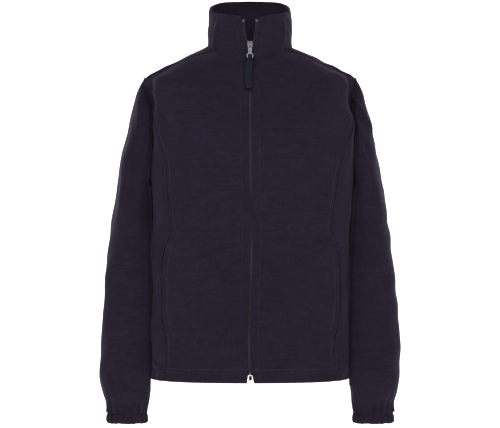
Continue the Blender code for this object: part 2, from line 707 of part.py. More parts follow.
def sleeve_rings(side):
    """The sleeve's grid of points, from the armhole to the cuff seam, and its armhole's outward directions."""
    angles = np.concatenate([
        np.linspace(0.0, PRINCESS_STOP, FRONT_ARMHOLE_STEPS + 1),
        np.linspace(PRINCESS_STOP, SHOULDER_SEAM_STOP, SHOULDER_TIP_STEPS + 1)[1:],
        np.linspace(SHOULDER_SEAM_STOP, 360.0, BACK_ARMHOLE_STEPS + 1)[1:-1],
    ])[::-1]
    hole = armhole(angles)
    mirror = np.array([side, 1.0, 1.0])
    signed = hole * np.array([side, 1.0])
    rim = body_face(signed[:, 0], signed[:, 1]) * mirror
    normal = surface_normal(body_face, signed[:, 0], signed[:, 1]) * mirror
    along = unit(np.roll(rim, -1, axis=0) - np.roll(rim, 1, axis=0))
    into = unit(np.cross(along, normal))
    into *= np.sign((into * (rim.mean(axis=0) - rim)).sum(axis=-1).mean())
    around = np.radians(180.0 - angles)
    shape = local_shape(rim, around)
    rings = [rim + (into + normal) * GAP * 1.3]
    for number, ring in enumerate(RINGS, start=1):
        rings.append(ring_points(ring, shape, around, smooth_step(0.0, FAN_RINGS, number)))
    return np.array(rings), normal, into, np.degrees(around) % 360.0


def ring_frame(outer, inner):
    """Middle, half length, and the directions along and square to the line from inner to outer."""
    run = outer - inner
    length = np.linalg.norm(run)
    up = run / length
    return (outer + inner) / 2, length / 2, up, np.array([up[2], 0.0, -up[0]])


def local_shape(rim, around):
    """The armhole's own shape, as shares of its length and depth and a distance out of its plane."""
    top = rim[np.argmin(np.abs((np.degrees(around) + 180.0) % 360.0 - 180.0))] * np.array([1.0, 0.0, 1.0])
    low = rim[np.argmin(np.abs(np.degrees(around) % 360.0 - 180.0))] * np.array([1.0, 0.0, 1.0])
    middle, half, up, out = ring_frame(top, low)
    along = (rim - middle) @ up / half
    depth = np.where(rim[:, 1] < 0, -rim[:, 1].min(), rim[:, 1].max())
    return along, -rim[:, 1] / depth, (rim - middle) @ out


def ring_points(ring, shape, around, rounded):
    """One ring of the sleeve, between the armhole's own shape (0) and a rounded one (1)."""
    outer = np.array([ring.outer_x, 0.0, ring.outer_z])
    inner = np.array([ring.inner_x, 0.0, ring.inner_z])
    middle, half, up, out = ring_frame(outer, inner)
    boost = 1.0 + SLEEVE_SQUARE * np.sin(2 * around) ** 2
    along = shape[0] * (1 - rounded) + np.cos(around) * boost * rounded
    forward = shape[1] * (1 - rounded) + np.sin(around) * boost * rounded
    depth = np.where(forward > 0, ring.front, ring.back)
    points = middle + np.outer(along * half, up) + np.outer(shape[2] * (1 - rounded), out)
    points[:, 1] = ring.middle_y * rounded - forward * depth
    return points


def clear_of_body(points, side):
    """Moves the points of a left-hand sleeve that press into the body's side out to its cloth."""
    heights = [loop.side_z for loop in LOOPS]
    level = np.interp(points[..., 2], heights, [loop.level for loop in LOOPS])
    front = points[..., 1] < 0
    depth_front = read_table(LOOPS, "level", "front", level)
    depth = np.where(front, depth_front, read_table(LOOPS, "level", "back", level))
    square = read_table(LOOPS, "level", "square", level)
    turn = np.full(level.shape, math.pi / 2)
    for _ in range(SOLVING_ROUNDS):
        boost = 1.0 + square * np.sin(2 * turn) ** 2
        turn = np.arccos(np.clip(-points[..., 1] / (depth * boost), -1.0, 1.0))
    limit = np.abs(body_face(side * np.degrees(turn), level)[..., 0]) + SLEEVE_CLEAR
    beside = (points[..., 2] < SLEEVE_CLEAR_TOP) & (points[..., 2] > SLEEVE_CLEAR_LOW)
    moved = points.copy()
    moved[..., 0] = np.where(beside, np.maximum(points[..., 0], limit), points[..., 0])
    return moved


def grid_normals(grid):
    """Outward directions of a grid whose columns close on themselves."""
    across = np.roll(grid, -1, axis=1) - np.roll(grid, 1, axis=1)
    return unit(np.cross(across, np.gradient(grid, axis=0)))


def build_sleeve(side, name, material):
    """One sleeve, its head set against the armhole and its end gathered into the cuff."""
    grid, hole_normal, into, turns = sleeve_rings(side)
    height = np.zeros(grid.shape[:2])
    for fold in SLEEVE_FOLDS:
        if fold.side == side:
            a = np.array([math.radians(fold.turn_a) * SLEEVE_TURN_LENGTH, fold.z_a])
            b = np.array([math.radians(fold.turn_b) * SLEEVE_TURN_LENGTH, fold.z_b])
            across = np.radians(turns)[None, :] * SLEEVE_TURN_LENGTH
            height += ridge(across, grid[..., 2], a, b, fold.width, fold.height)
    fan = smooth_step(0.0, FOLD_FREE_RINGS, np.arange(len(grid)))[:, None]
    clear = 1.0 - smooth_step(*FOLD_FREE_COSINES, np.cos(np.radians(turns)))[None, :]
    gather = GATHER_DEPTH * smooth_step(GATHER_TOP, RINGS[-1].outer_z, grid[..., 2])
    gather = gather * np.where(np.arange(grid.shape[1]) % 2, 1.0, -1.0)[None, :]
    normals = grid_normals(grid)
    face = clear_of_body(grid + normals * (height * fan * clear + gather)[..., None], side)
    normals = grid_normals(face)
    spill = (normals[0] * into).sum(axis=-1, keepdims=True).clip(0.0)
    normals[0] = unit(normals[0] - spill * into)
    back = face - normals * CLOTH
    if side < 0:
        face, back = (points[:, ::-1] * np.array([-1.0, 1.0, 1.0]) for points in (face, back))
    face[-1, :, 2] = back[-1, :, 2] = RINGS[-1].outer_z
    return wall(name, face, back, material, ring=True)


def build_cuff(side, name, material):
    """The casing that holds the cuff's elastic, ruffled and fuller at its lower edge."""
    columns = CUFF_GATHERS * 2
    around = np.radians(np.arange(columns) * 360.0 / columns)
    ruffle = np.where(np.arange(columns) % 2, 1.0, -1.0)
    rings, backs = [], []
    for number, ring in enumerate(CUFF_RINGS):
        half = (ring.outer_x - ring.inner_x) / 2
        middle = (ring.outer_x + ring.inner_x) / 2
        fullness = CUFF_TOP_SHARE + (1.0 - CUFF_TOP_SHARE) * number / (len(CUFF_RINGS) - 1)
        wave = ruffle * CUFF_DEPTH * fullness
        for store, inset in ((rings, 0.0), (backs, CUFF_CLOTH)):
            x = side * (middle + (half - inset + wave) * np.cos(around))
            y = CUFF_MIDDLE_Y - (ring.depth - inset + wave) * np.sin(around)
            store.append(np.stack([x, y, np.full(columns, ring.z)], axis=-1))
    face, back = np.array(rings), np.array(backs)
    if side < 0:
        face, back = face[:, ::-1], back[:, ::-1]
    return wall(name, face, back, material, ring=True, high_lip=CUFF_CLOTH / 4)


def zip_section(side, point, normal, turn_of, middle, thickness):
    """One section of a zip half: the tape behind the cloth, and the chain in the gap between the edges."""
    depth = thickness + TAPE_GAP
    outline = (
        (middle + TAPE_REACH, depth),
        (middle + CHAIN_HALF, depth),
        (middle + CHAIN_HALF, depth - CHAIN_FRONT),
        (middle - CHAIN_HALF, depth - CHAIN_FRONT),
        (middle - CHAIN_HALF, depth + CHAIN_BACK),
        (middle + CHAIN_HALF, depth + CHAIN_BACK),
        (middle + CHAIN_HALF, depth + TAPE),
        (middle + TAPE_REACH, depth + TAPE),
    )
    points = []
    for x, behind in outline:
        turn = turn_of(side, x)
        points.append(point(turn) - normal(turn) * behind)
    return points


def build_zip(side, name, material):
    """Half of the zip: up the front, and on up the collar's edge."""
    sections = []
    levels = np.concatenate([[ZIP_LOW_LEVEL], front_levels()[2:-1], [ZIP_NECK_LEVEL]])
    for level in levels:
        drift = float(read_table(ZIP_DRIFT, "level", "x", level))
        sections.append(zip_section(
            side,
            lambda turn, level=level: body_face(np.array(turn), np.array(level)),
            lambda turn, level=level: surface_normal(body_form, np.array(turn), np.array(level)),
            lambda side, x, level=level, drift=drift: float(turn_at(side * x + drift, level)),
            CHAIN_HALF + GAP / 2,
            float(body_thickness(level)) if level < levels[-1] else ZIP_NECK_DEPTH,
        ))
    for rise in COLLAR_RISES[1:-2]:
        z = float(collar_point(0.0, rise)[2])
        sections.append(zip_section(
            side,
            lambda turn, rise=rise: collar_point(turn, rise),
            lambda turn, rise=rise: collar_normal(turn, rise),
            lambda side, x: side * math.degrees(math.asin(x / RIM_HALF_WIDTH)),
            float(read_straight(V_CHAIN, "z", "x", z)),
            COLLAR_CLOTH,
        ))
    return sweep(name, np.array(sections), side, material)


def sweep(name, sections, side, material):
    """A closed solid through sections of equal point count."""
    rows, count = sections.shape[:2]
    faces = []
    for i in range(rows - 1):
        for j in range(count):
            k = (j + 1) % count
            faces.append((i * count + j, i * count + k, (i + 1) * count + k, (i + 1) * count + j))
    faces.append(tuple(range(count - 1, -1, -1)))
    faces.append(tuple((rows - 1) * count + j for j in range(count)))
    if side > 0:
        faces = [face[::-1] for face in faces]
    return build(name, sections.reshape(-1, 3), faces, material)


def slab(name, outline, near, far, material):
    """A plate with an outline of (x, z), from y = near to y = far."""
    count = len(outline)
    points = [(x, near, z) for x, z in outline] + [(x, far, z) for x, z in outline]
    faces = [tuple(range(count)), tuple(range(2 * count - 1, count - 1, -1))]
    faces += [(j, j + count, (j + 1) % count + count, (j + 1) % count) for j in range(count)]
    return build(name, points, faces, material)


def rounded_outline(half_width, low, high, corner, steps=3):
    """A rectangle of (x, z) with round corners, anticlockwise."""
    points = []
    for x, z, start in (
        (half_width - corner, high - corner, 0),
        (corner - half_width, high - corner, 90),
        (corner - half_width, low + corner, 180),
        (half_width - corner, low + corner, 270),
    ):
        for step in range(steps + 1):
            angle = math.radians(start + 90 * step / steps)
            points.append((x + corner * math.cos(angle), z + corner * math.sin(angle)))
    return points


def combine(obj, operation, others):
    """Joins others to obj, or cuts them from it."""
    for other in others:
        modifier = obj.modifiers.new(other.name, "BOOLEAN")
        modifier.operation = operation
        modifier.solver = "EXACT"
        modifier.object = other
        other.hide_render = True
        other.display_type = "WIRE"


def build_slider(material):
    """The slider: a plate before the chain, a plate behind it, the wedge between, and the bail."""
    surface = float(collar_point(0.0, slider_rise())[1])
    chain_front = surface + COLLAR_CLOTH + TAPE_GAP - CHAIN_FRONT
    chain_back = surface + COLLAR_CLOTH + TAPE_GAP + CHAIN_BACK + GAP
    low, high = SLIDER_Z - SLIDER_HALF_HEIGHT, SLIDER_Z + SLIDER_HALF_HEIGHT
    outline = rounded_outline(SLIDER_HALF_WIDTH, low, high, SLIDER_CORNER)
    front = slab("zip_slider", outline, chain_front - GAP - PLATE, chain_front - GAP, material)
    behind = slab("slider_back_plate", outline, chain_back + GAP, chain_back + GAP + PLATE, material)
    wedge_outline = mirrored_outline((Half(WEDGE_HALF_WIDTH, high), Half(WEDGE_TIP, high - WEDGE_HEIGHT)))
    wedge_ends = chain_front - GAP - PLATE / 2, chain_back + GAP + PLATE / 2
    wedge = slab("slider_wedge", wedge_outline, *wedge_ends, material)
    bail = build_bail(pivot_y(), chain_front - GAP - PLATE / 2, material)
    combine(front, "UNION", (wedge, behind, bail))
    return front


def slider_rise():
    """The collar's rise at the slider's height."""
    rises = np.linspace(0.0, 1.0, 200)
    return float(np.interp(SLIDER_Z, collar_point(0.0, rises)[:, 2], rises))


def pivot_y():
    """The pull's axis lies a little proud of the collar."""
    return float(collar_point(0.0, slider_rise())[1]) - PIVOT_PROUD


def build_bail(axis_y, plate_y, material):
    """The bail: half a ring about the pull's axis, its two feet running back into the plate."""
    outer, inner = [], []
    for step in range(BAIL_STEPS + 1):
        angle = math.pi / 2 + math.pi * step / BAIL_STEPS
        outer.append((axis_y + BAIL_OUTER * math.cos(angle), PIVOT_Z + BAIL_OUTER * math.sin(angle)))
        inner.append((axis_y + BAIL_INNER * math.cos(angle), PIVOT_Z + BAIL_INNER * math.sin(angle)))
    outer = [(plate_y, outer[0][1])] + outer + [(plate_y, outer[-1][1])]
    inner = [(plate_y, inner[0][1])] + inner + [(plate_y, inner[-1][1])]
    count = len(outer)
    points = [(x, y, z) for x in (-BAIL_HALF_WIDTH, BAIL_HALF_WIDTH) for y, z in outer + inner]
    faces = []
    for i in range(count - 1):
        a, b, c, d = i, i + 1, count + i + 1, count + i
        right = [2 * count + corner for corner in (a, b, c, d)]
        faces += [(a, b, c, d), tuple(right[::-1]), (b, a, right[0], right[1]), (d, c, right[2], right[3])]
    for i in (0, count - 1):
        end = (i, count + i, 3 * count + i, 2 * count + i)
        faces.append(end[::-1] if i == 0 else end)
    obj = build("slider_bail", points, faces, material)
    face_out(obj)
    return obj


def face_out(obj):
    """Turns a closed mesh's faces outward."""
    mesh = bmesh.new()
    mesh.from_mesh(obj.data)
    bmesh.ops.recalc_face_normals(mesh, faces=mesh.faces)
    mesh.to_mesh(obj.data)
    mesh.free()


def build_pull(metal, cloth):
    """The pull, leaning on the chest: a metal tab on the bail, and a cloth strip sewn through its ring."""
    pivot = bpy.data.objects.new("pull_pivot", None)
    bpy.context.scene.collection.objects.link(pivot)
    pivot.location = Vector((0.0, pivot_y(), PIVOT_Z))
    pivot.rotation_euler = (math.radians(-PULL_LEAN), 0.0, 0.0)
    tab = slab("pull_tab", mirrored_outline(TAB_OUTLINE), -TAB / 2, TAB / 2, metal)
    eye_outline = rounded_outline(EYE_HALF_WIDTH, EYE_LOW_Z, EYE_HIGH_Z, EYE_CORNER)
    eye = slab("tab_eye", eye_outline, -TAB, TAB, metal)
    ring_outline = rounded_outline(RING_HALF_WIDTH, RING_LOW_Z, RING_HIGH_Z, RING_CORNER)
    ring = slab("tab_ring_hole", ring_outline, -TAB, TAB, metal)
    combine(tab, "DIFFERENCE", (eye, ring))
    strip = slab("puller", mirrored_outline(PULLER_OUTLINE), -PULLER_CLOTH / 2, PULLER_CLOTH / 2, cloth)
    window_outline = mirrored_outline((
        Half(PULLER_HALF_WIDTH * 2, PULLER_WINDOW_Z - PULLER_WINDOW_DEPTH),
        Half(PULLER_HALF_WIDTH * 2, PULLER_WINDOW_Z),
    ))
    window = slab("puller_window", window_outline, -TAB / 2 - GAP, TAB / 2 + GAP, cloth)
    combine(strip, "DIFFERENCE", (window,))
    for obj in (tab, eye, ring, strip, window):
        face_out(obj)
        obj.parent = pivot


def mirrored_outline(half):
    """A symmetrical outline of (x, z), from its half widths down its height."""
    return [(row.width, row.z) for row in half] + [(-row.width, row.z) for row in half[::-1]]


def build_zip_ends(metal):
    """The two top stops, and the box that holds the pin at the bottom."""
    x = float(read_straight(V_CHAIN, "z", "x", ZIP_TOP_Z))
    turn = math.degrees(math.asin(x / RIM_HALF_WIDTH))
    y = float(collar_point(turn, STOP_RISE)[1]) + COLLAR_CLOTH - STOP_INSET
    low_z = ZIP_TOP_Z + GAP
    for side, name in ((1, "top_stop_left"), (-1, "top_stop_right")):
        outline = rounded_outline(STOP_HALF_WIDTH, low_z, low_z + STOP_HEIGHT, STOP_CORNER)
        stop = slab(name, outline, y, y + STOP_DEPTH, metal)
        stop.location.x = side * x
        face_out(stop)
    low = body_face(np.array(0.0), np.array(BOX_LOW_LEVEL))
    high_z = float(body_face(0.0, ZIP_LOW_LEVEL)[2]) - BOX_CLEAR
    outline = rounded_outline(BOX_HALF_WIDTH, low[2], high_z, BOX_CORNER)
    box = slab("zip_box", outline, low[1] + BOX_INSET, low[1] + BOX_INSET + BOX_DEPTH, metal)
    box.location.x = float(read_table(ZIP_DRIFT, "level", "x", BOX_LOW_LEVEL))
    face_out(box)


def build_jacket():
    """Every piece of the jacket."""
    clear_scene()
    fleece = finish("fleece", (0.022, 0.018, 0.032), 0.95)
    knit = finish("pocket_knit", (0.014, 0.012, 0.022), 0.9)
    tape = finish("zip_tape", (0.012, 0.010, 0.020), 0.8)
    metal = finish("nickel", (0.72, 0.72, 0.74), 0.25, 1.0)
    webbing = finish("puller_cloth", (0.012, 0.012, 0.045), 0.7)
    build_back(fleece)
    for side, word in ((1, "left"), (-1, "right")):
        build_front(side, f"front_{word}", fleece)
        build_side_front(side, f"side_front_{word}", fleece)
        build_pocket_bag(side, f"pocket_bag_{word}", knit)
        build_sleeve(side, f"sleeve_{word}", fleece)
        build_cuff(side, f"cuff_{word}", fleece)
        build_zip(side, f"zip_{word}", tape)
    build_collar(fleece)
    slider = build_slider(metal)
    face_out(slider)
    for modifier in slider.modifiers:
        face_out(modifier.object)
    build_pull(metal, webbing)
    build_zip_ends(metal)


build_jacket()
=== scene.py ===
"""Dresses a women's fleece zip jacket: cloth, seams, stitching, zip and pull, with the camera, backdrop and light.

Metres, +Z up, front towards -Y, the wearer's left towards +X. A place on the body is a turn, in degrees round it
from the centre front towards the wearer's left, and a level, in metres of cloth up from the hem.
"""

import json
import logging
import math
from dataclasses import dataclass, field
from enum import Enum
from functools import reduce
from typing import Callable, NamedTuple, Sequence

import bpy
import numpy as np
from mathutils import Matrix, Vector
from mathutils.bvhtree import BVHTree

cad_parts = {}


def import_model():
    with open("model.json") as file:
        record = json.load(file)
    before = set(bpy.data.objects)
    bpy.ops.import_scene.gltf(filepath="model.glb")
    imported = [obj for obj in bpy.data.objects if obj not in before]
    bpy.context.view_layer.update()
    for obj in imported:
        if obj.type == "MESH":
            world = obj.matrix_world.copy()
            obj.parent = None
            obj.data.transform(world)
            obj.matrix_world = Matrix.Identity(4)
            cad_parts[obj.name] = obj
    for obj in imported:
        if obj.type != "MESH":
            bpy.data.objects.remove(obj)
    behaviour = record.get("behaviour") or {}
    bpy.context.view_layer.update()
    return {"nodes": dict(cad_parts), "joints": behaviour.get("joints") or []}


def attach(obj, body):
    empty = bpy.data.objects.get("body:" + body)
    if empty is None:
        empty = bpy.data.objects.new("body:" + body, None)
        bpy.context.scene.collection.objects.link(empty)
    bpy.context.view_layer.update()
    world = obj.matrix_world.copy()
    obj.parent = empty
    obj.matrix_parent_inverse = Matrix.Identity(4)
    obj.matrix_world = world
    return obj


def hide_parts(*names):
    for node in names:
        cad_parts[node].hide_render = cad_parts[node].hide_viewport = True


LOG = logging.getLogger("jacket")
Points = np.ndarray
Path = np.ndarray
Piece = bpy.types.Object
Material = bpy.types.Material
Socket = bpy.types.NodeSocket
Colour = tuple[float, float, float]
Span = tuple[float, float]
Place = tuple[float, float, float]


class Side(Enum):
    """The wearer's two sides, with the sign of their x."""

    LEFT = 1
    RIGHT = -1

    @property
    def word(self) -> str:
        """The side's name in the names of pieces."""
        return self.name.lower()


class Held(Enum):
    """How a sheet of cloth is held."""

    STRETCHED = "stretched"
    GATHERED = "gathered"
    HUNG = "hung"
    FOLDED = "folded"


# ---------------------------------------------------------------- finishes


class Layer(NamedTuple):
    """Noise in a finish: cycles a metre across and up, detail, the shades it runs between, and its relief."""

    across: float
    up: float
    detail: float
    shade: Span | None = None
    depth: float = 0.0


class NodeChain:
    """Adds shader nodes to one material and links them."""

    def __init__(self, name: str) -> None:
        """Starts a material with one Principled shader.

        Args:
            name: the material's name.
        """
        self.material = bpy.data.materials.new(name)
        self.material.use_nodes = True
        self.tree = self.material.node_tree
        self.shader = self.tree.nodes["Principled BSDF"]
        self.coordinates = self.tree.nodes.new("ShaderNodeTexCoord").outputs["Object"]

    def node(self, kind: str, inputs: dict[str | int, object], number: int = 0, **settings: object) -> Socket:
        """Adds one node.

        Args:
            kind: the node's type after "ShaderNode".
            inputs: socket names or numbers, each with a value or with the output that feeds it.
            number: which of its outputs is wanted.
            settings: the node's own properties.

        Returns:
            That output.
        """
        node = self.tree.nodes.new("ShaderNode" + kind)
        for name, value in settings.items():
            setattr(node, name, value)
        for name, value in inputs.items():
            if isinstance(value, Socket):
                self.tree.links.new(value, node.inputs[name])
            else:
                node.inputs[name].default_value = value
        return node.outputs[number]

    def noise(self, layer: Layer) -> Socket:
        """The noise of a layer, from 0 to 1."""
        stretched = self.node("Mapping", {"Vector": self.coordinates, "Scale": (layer.across, *layer[:2])})
        return self.node("TexNoise", {"Vector": stretched, "Scale": 1.0, "Detail": layer.detail, "Roughness": 0.6})

    def spread(self, value: Socket, low: float, high: float) -> Socket:
        """Noise, whose values crowd round its middle, opened out to run from low to high."""
        inputs = {"Value": value, "From Min": 0.3, "From Max": 0.7, "To Min": low, "To Max": high}
        return self.node("MapRange", inputs)

    def times(self, *values: Socket) -> Socket:
        """The product of several values."""
        return reduce(lambda product, value: self.node("Math", {0: product, 1: value}, operation="MULTIPLY"), values)

    def cover(self, base: Colour, *layers: Layer, factors: Sequence[Socket] = ()) -> "NodeChain":
        """Shades the surface and gives it fine relief.

        Args:
            base: its colour.
            layers: the noise that makes it lighter, darker and rough.
            factors: other values that it is made lighter or darker by.

        Returns:
            The chain.
        """
        self.noises = [self.noise(layer) for layer in layers]
        shades = [self.spread(noise, *layer.shade) for noise, layer in zip(self.noises, layers) if layer.shade]
        factor = self.times(*factors, *shades)
        tinted = self.node("VectorMath", {0: base, "Scale": factor}, operation="SCALE")
        self.tree.links.new(tinted, self.shader.inputs["Base Color"])
        self.bump([(noise, layer.depth) for noise, layer in zip(self.noises, layers) if layer.depth])
        return self

    def bump(self, reliefs: Sequence[tuple[Socket, float]]) -> None:
        """Adds relief.

        Args:
            reliefs: the height of each layer, and its depth in metres.
        """
        normal = None
        for height, depth in reliefs:
            inputs = {"Height": height, "Distance": depth, "Strength": 1.0}
            if normal is not None:
                inputs["Normal"] = normal
            normal = self.node("Bump", inputs)
            self.tree.links.new(normal, self.shader.inputs["Normal"])

    def set(self, **values: float | Sequence[float]) -> Material:
        """Sets the shader's own sockets.

        Args:
            values: a value for each, with underscores in its name for spaces.

        Returns:
            The material.
        """
        for name, value in values.items():
            self.shader.inputs[name.replace("_", " ")].default_value = value
        return self.material


@dataclass(frozen=True)
class FleeceFinish:
    """Anti-pill fleece: a short brushed pile with a soft sheen, over faint rows of knitting."""

    name: str = "brushed_fleece"
    base: Colour = (0.0118, 0.0080, 0.0174)
    sheen: float = 0.14
    sheen_tint: Colour = (0.50, 0.42, 0.66)
    sheen_roughness: float = 0.42
    clumps: Layer = Layer(120.0, 120.0, 4.0, (0.85, 1.17), 0.00084)
    rows: Layer = Layer(26.0, 330.0, 2.0, (0.85, 1.17), 0.00012)
    nap: Layer = Layer(620.0, 620.0, 3.0, (0.74, 1.28), 0.00042)
    broad: Layer = Layer(7.0, 7.0, 2.0, (0.95, 1.05))

    def build(self) -> Material:
        """Makes the material."""
        chain = NodeChain(self.name).cover(self.base, self.clumps, self.rows, self.nap, self.broad)
        return chain.set(
            Roughness=0.95, Specular_IOR_Level=0.12, Sheen_Weight=self.sheen,
            Sheen_Roughness=self.sheen_roughness, Sheen_Tint=(*self.sheen_tint, 1.0),
        )


@dataclass(frozen=True)
class WovenFinish:
    """Tape, webbing or flat knit: crossed threads of one colour."""

    name: str
    base: Colour
    threads: float = 1500.0
    roughness: float = 0.72
    sheen: float = 0.15
    specular: float = 0.4
    depth: float = 0.00008
    threads_per_scale: float = 6.3
    weave_shade: Span = (0.75, 1.25)
    wear: Layer = Layer(210.0, 210.0, 3.0, (0.88, 1.12))

    def build(self) -> Material:
        """Makes the material.

        Returns:
            The material.
        """
        chain = NodeChain(self.name)
        inputs = {"Vector": chain.coordinates, "Scale": self.threads / self.threads_per_scale, "Distortion": 0.6}
        weave = chain.times(*(chain.node("TexWave", inputs, 1, bands_direction=way) for way in ("X", "Z")))
        low, high = self.weave_shade
        shade = chain.node("MapRange", {"Value": weave, "To Min": low, "To Max": high})
        chain.cover(self.base, self.wear, factors=[shade]).bump([(weave, self.depth)])
        return chain.set(
            Roughness=self.roughness, Specular_IOR_Level=self.specular, Sheen_Weight=self.sheen, Sheen_Roughness=0.4,
        )


@dataclass(frozen=True)
class ThreadFinish:
    """Twisted sewing thread with a slight lustre. Its default colour is lighter than the self-coloured thread:
    painted sheen.
    """

    name: str = "sewing_thread"
    # Lighter than the cloth it matches: painted sheen.
    base: Colour = (0.0360, 0.0280, 0.0520)
    twist: Layer = Layer(2600.0, 2600.0, 1.0, (0.7, 1.4), 0.00006)

    def build(self) -> Material:
        """Makes the material."""
        chain = NodeChain(self.name).cover(self.base, self.twist)
        return chain.set(Roughness=0.6, Sheen_Weight=0.20, Sheen_Roughness=0.35, Specular_IOR_Level=0.25)


@dataclass(frozen=True)
class MetalFinish:
    """Plated zip metal, with fine handling marks and a rougher bloom in places."""

    name: str = "plated_metal"
    base: Colour = (0.36, 0.37, 0.39)
    roughness: Span = (0.16, 0.30)
    marks: Layer = Layer(300.0, 2400.0, 3.0, None, 0.00002)
    bloom: Layer = Layer(180.0, 180.0, 2.0, (0.86, 1.08))
    bloom_on_marks: Span = (1.4, 2.2)

    def build(self) -> Material:
        """Makes the material.

        Returns:
            The material.
        """
        chain = NodeChain(self.name).cover(self.base, self.marks, self.bloom)
        marks, bloom = chain.noises
        rough = chain.spread(chain.times(marks, chain.spread(bloom, *self.bloom_on_marks)), *self.roughness)
        chain.tree.links.new(rough, chain.shader.inputs["Roughness"])
        return chain.set(Metallic=1.0)


@dataclass(frozen=True)
class CoilFinish:
    """Moulded nylon teeth: dark, hard and a little shiny."""

    name: str = "nylon_teeth"
    base: Colour = (0.0240, 0.0190, 0.0290)
    drawn: Layer = Layer(900.0, 900.0, 2.0, (0.85, 1.2), 0.00003)

    def build(self) -> Material:
        """Makes the material."""
        return NodeChain(self.name).cover(self.base, self.drawn).set(Roughness=0.50, Specular_IOR_Level=0.25)


# ---------------------------------------------------------------- numbers and curves


def smooth_read(stations: Points, values: Points, at: Points | float) -> Points:
    """Reads values kept at stations by a smooth curve through them.

    Args:
        stations: rising numbers.
        values: one value, or one grid of points, for each.
        at: the stations to read at.

    Returns:
        The values there.
    """
    slopes = np.gradient(values, stations, axis=0)
    at = np.asarray(at, float)
    low = np.clip(np.searchsorted(stations, at, side="right") - 1, 0, len(stations) - 2)
    shape = at.shape + (1,) * (values.ndim - 1)
    step = (stations[low + 1] - stations[low]).reshape(shape)
    t = (at - stations[low]).reshape(shape) / step
    start = values[low] * (1 + 2 * t) * (1 - t) ** 2 + slopes[low] * step * t * (1 - t) ** 2
    return start + values[low + 1] * t * t * (3 - 2 * t) + slopes[low + 1] * step * t * t * (t - 1)


class Table:
    """Rows of named columns. The first column is the station that the others are read by."""

    def __init__(self, columns: str, *rows: tuple[float, ...]) -> None:
        """Keeps the rows as columns.

        Args:
            columns: the columns' names, with spaces between.
            rows: one tuple of numbers each.
        """
        self.columns = dict(zip(columns.split(), np.array(rows, float).T))
        self.stations = next(iter(self.columns.values()))

    def straight(self, column: str, at: Points | float) -> Points:
        """A column read by straight lines between its rows."""
        return np.interp(at, self.stations, self.columns[column])

    def smooth(self, column: str, at: Points | float) -> Points:
        """A column read by a smooth curve through its rows."""
        return smooth_read(self.stations, self.columns[column], at)


def unit(vectors: Points) -> Points:
    """Each vector at length 1."""
    return vectors / np.linalg.norm(vectors, axis=-1, keepdims=True)


def swell(square: Points | float, around: Points) -> Points:
    """How much wider a squarish ring is than a round one, at angles in radians."""
    return 1.0 + square * np.sin(2 * around) ** 2


def signed(turn: Points) -> Points:
    """A turn in degrees brought between -180 and 180."""
    return (np.asarray(turn, float) + 180.0) % 360.0 - 180.0


def smooth_step(low: float, high: float, at: Points | float) -> Points:
    """0 below low, 1 above high, and an even curve between."""
    share = np.clip((np.asarray(at, float) - low) / (high - low), 0.0, 1.0)
    return share * share * (3.0 - 2.0 * share)


def bell(distance: Points, width: float) -> Points:
    """1 at no distance, falling smoothly to nothing past the width."""
    return np.exp(-((distance / width) ** 2))


def spaced(start: float, end: float, step: float) -> Points:
    """Numbers from start to end, evenly spaced about a step apart."""
    return np.linspace(start, end, max(2, int(round(abs(end - start) / step)) + 1))


def joined(*runs: Points) -> Points:
    """Runs of numbers or points end to end, each without its first but the first run."""
    return np.concatenate([runs[0]] + [run[1:] for run in runs[1:]])


def upright(first: float, second: Points) -> Points:
    """Places with one first coordinate and these second ones."""
    return np.stack([np.full(len(second), first), second], axis=-1)


def run_of(path: Path) -> Points:
    """How far along a path each of its points lies."""
    return np.concatenate([[0.0], np.cumsum(np.linalg.norm(np.diff(path, axis=0), axis=1))])


def read_path(path: Path, at: Points, run: Points) -> Path:
    """Points, kept at these runs, read again at others."""
    return np.stack([np.interp(at, run, path[:, axis]) for axis in range(3)], axis=-1)


def even_path(points: Points, step: float = 0.001) -> Path:
    """A path read again about a step apart, both its ends kept."""
    run = run_of(points)
    return read_path(points, spaced(0.0, run[-1], step), run)


def nearest(points: Points, path: Path, reach: float) -> tuple[Points, Points]:
    """How far points lie from a path.

    Args:
        points: any grid of points.
        path: a path of closely spaced points.
        reach: the distance past which it doesn't matter.

    Returns:
        Each point's distance, and the number of the path's nearest point.
    """
    far, most_pairs = 1.0, 4_000_000
    flat = points.reshape(-1, 3)
    distance, number = np.full(len(flat), far), np.zeros(len(flat), int)
    low, high = path.min(axis=0) - reach, path.max(axis=0) + reach
    near = np.flatnonzero(((flat > low) & (flat < high)).all(axis=1))
    for part in np.array_split(near, max(1, len(near) * len(path) // most_pairs + 1)):
        if len(part):
            apart = np.linalg.norm(flat[part][:, None] - path[None], axis=-1)
            number[part] = apart.argmin(axis=1)
            distance[part] = apart.min(axis=1)
    return distance.reshape(points.shape[:-1]), number.reshape(points.shape[:-1])


class Fold(NamedTuple):
    """A soft ridge, or a trough where its height is negative, between two places."""

    across_a: float
    along_a: float
    across_b: float
    along_b: float
    width: float
    height: float

    def lift(self, across: Points, along: Points, scale: float = 1.0) -> Points:
        """How far the fold lifts the cloth.

        Args:
            across: the first coordinate of the cloth's points.
            along: the second, in metres.
            scale: metres for each unit of the first.

        Returns:
            The height at each point, fading at the fold's ends.
        """
        start = np.array([self.across_a * scale, self.along_a])
        run = np.array([self.across_b * scale, self.along_b]) - start
        x, y = across * scale - start[0], along - start[1]
        held = np.clip((x * run[0] + y * run[1]) / (run @ run), 0.0, 1.0)
        apart = (x - held * run[0]) ** 2 + (y - held * run[1]) ** 2
        return self.height * (0.55 + 0.45 * np.sin(math.pi * held)) * np.exp(-apart / self.width**2)


MILLIMETRES = 1000.0
DEGREES = 1.0


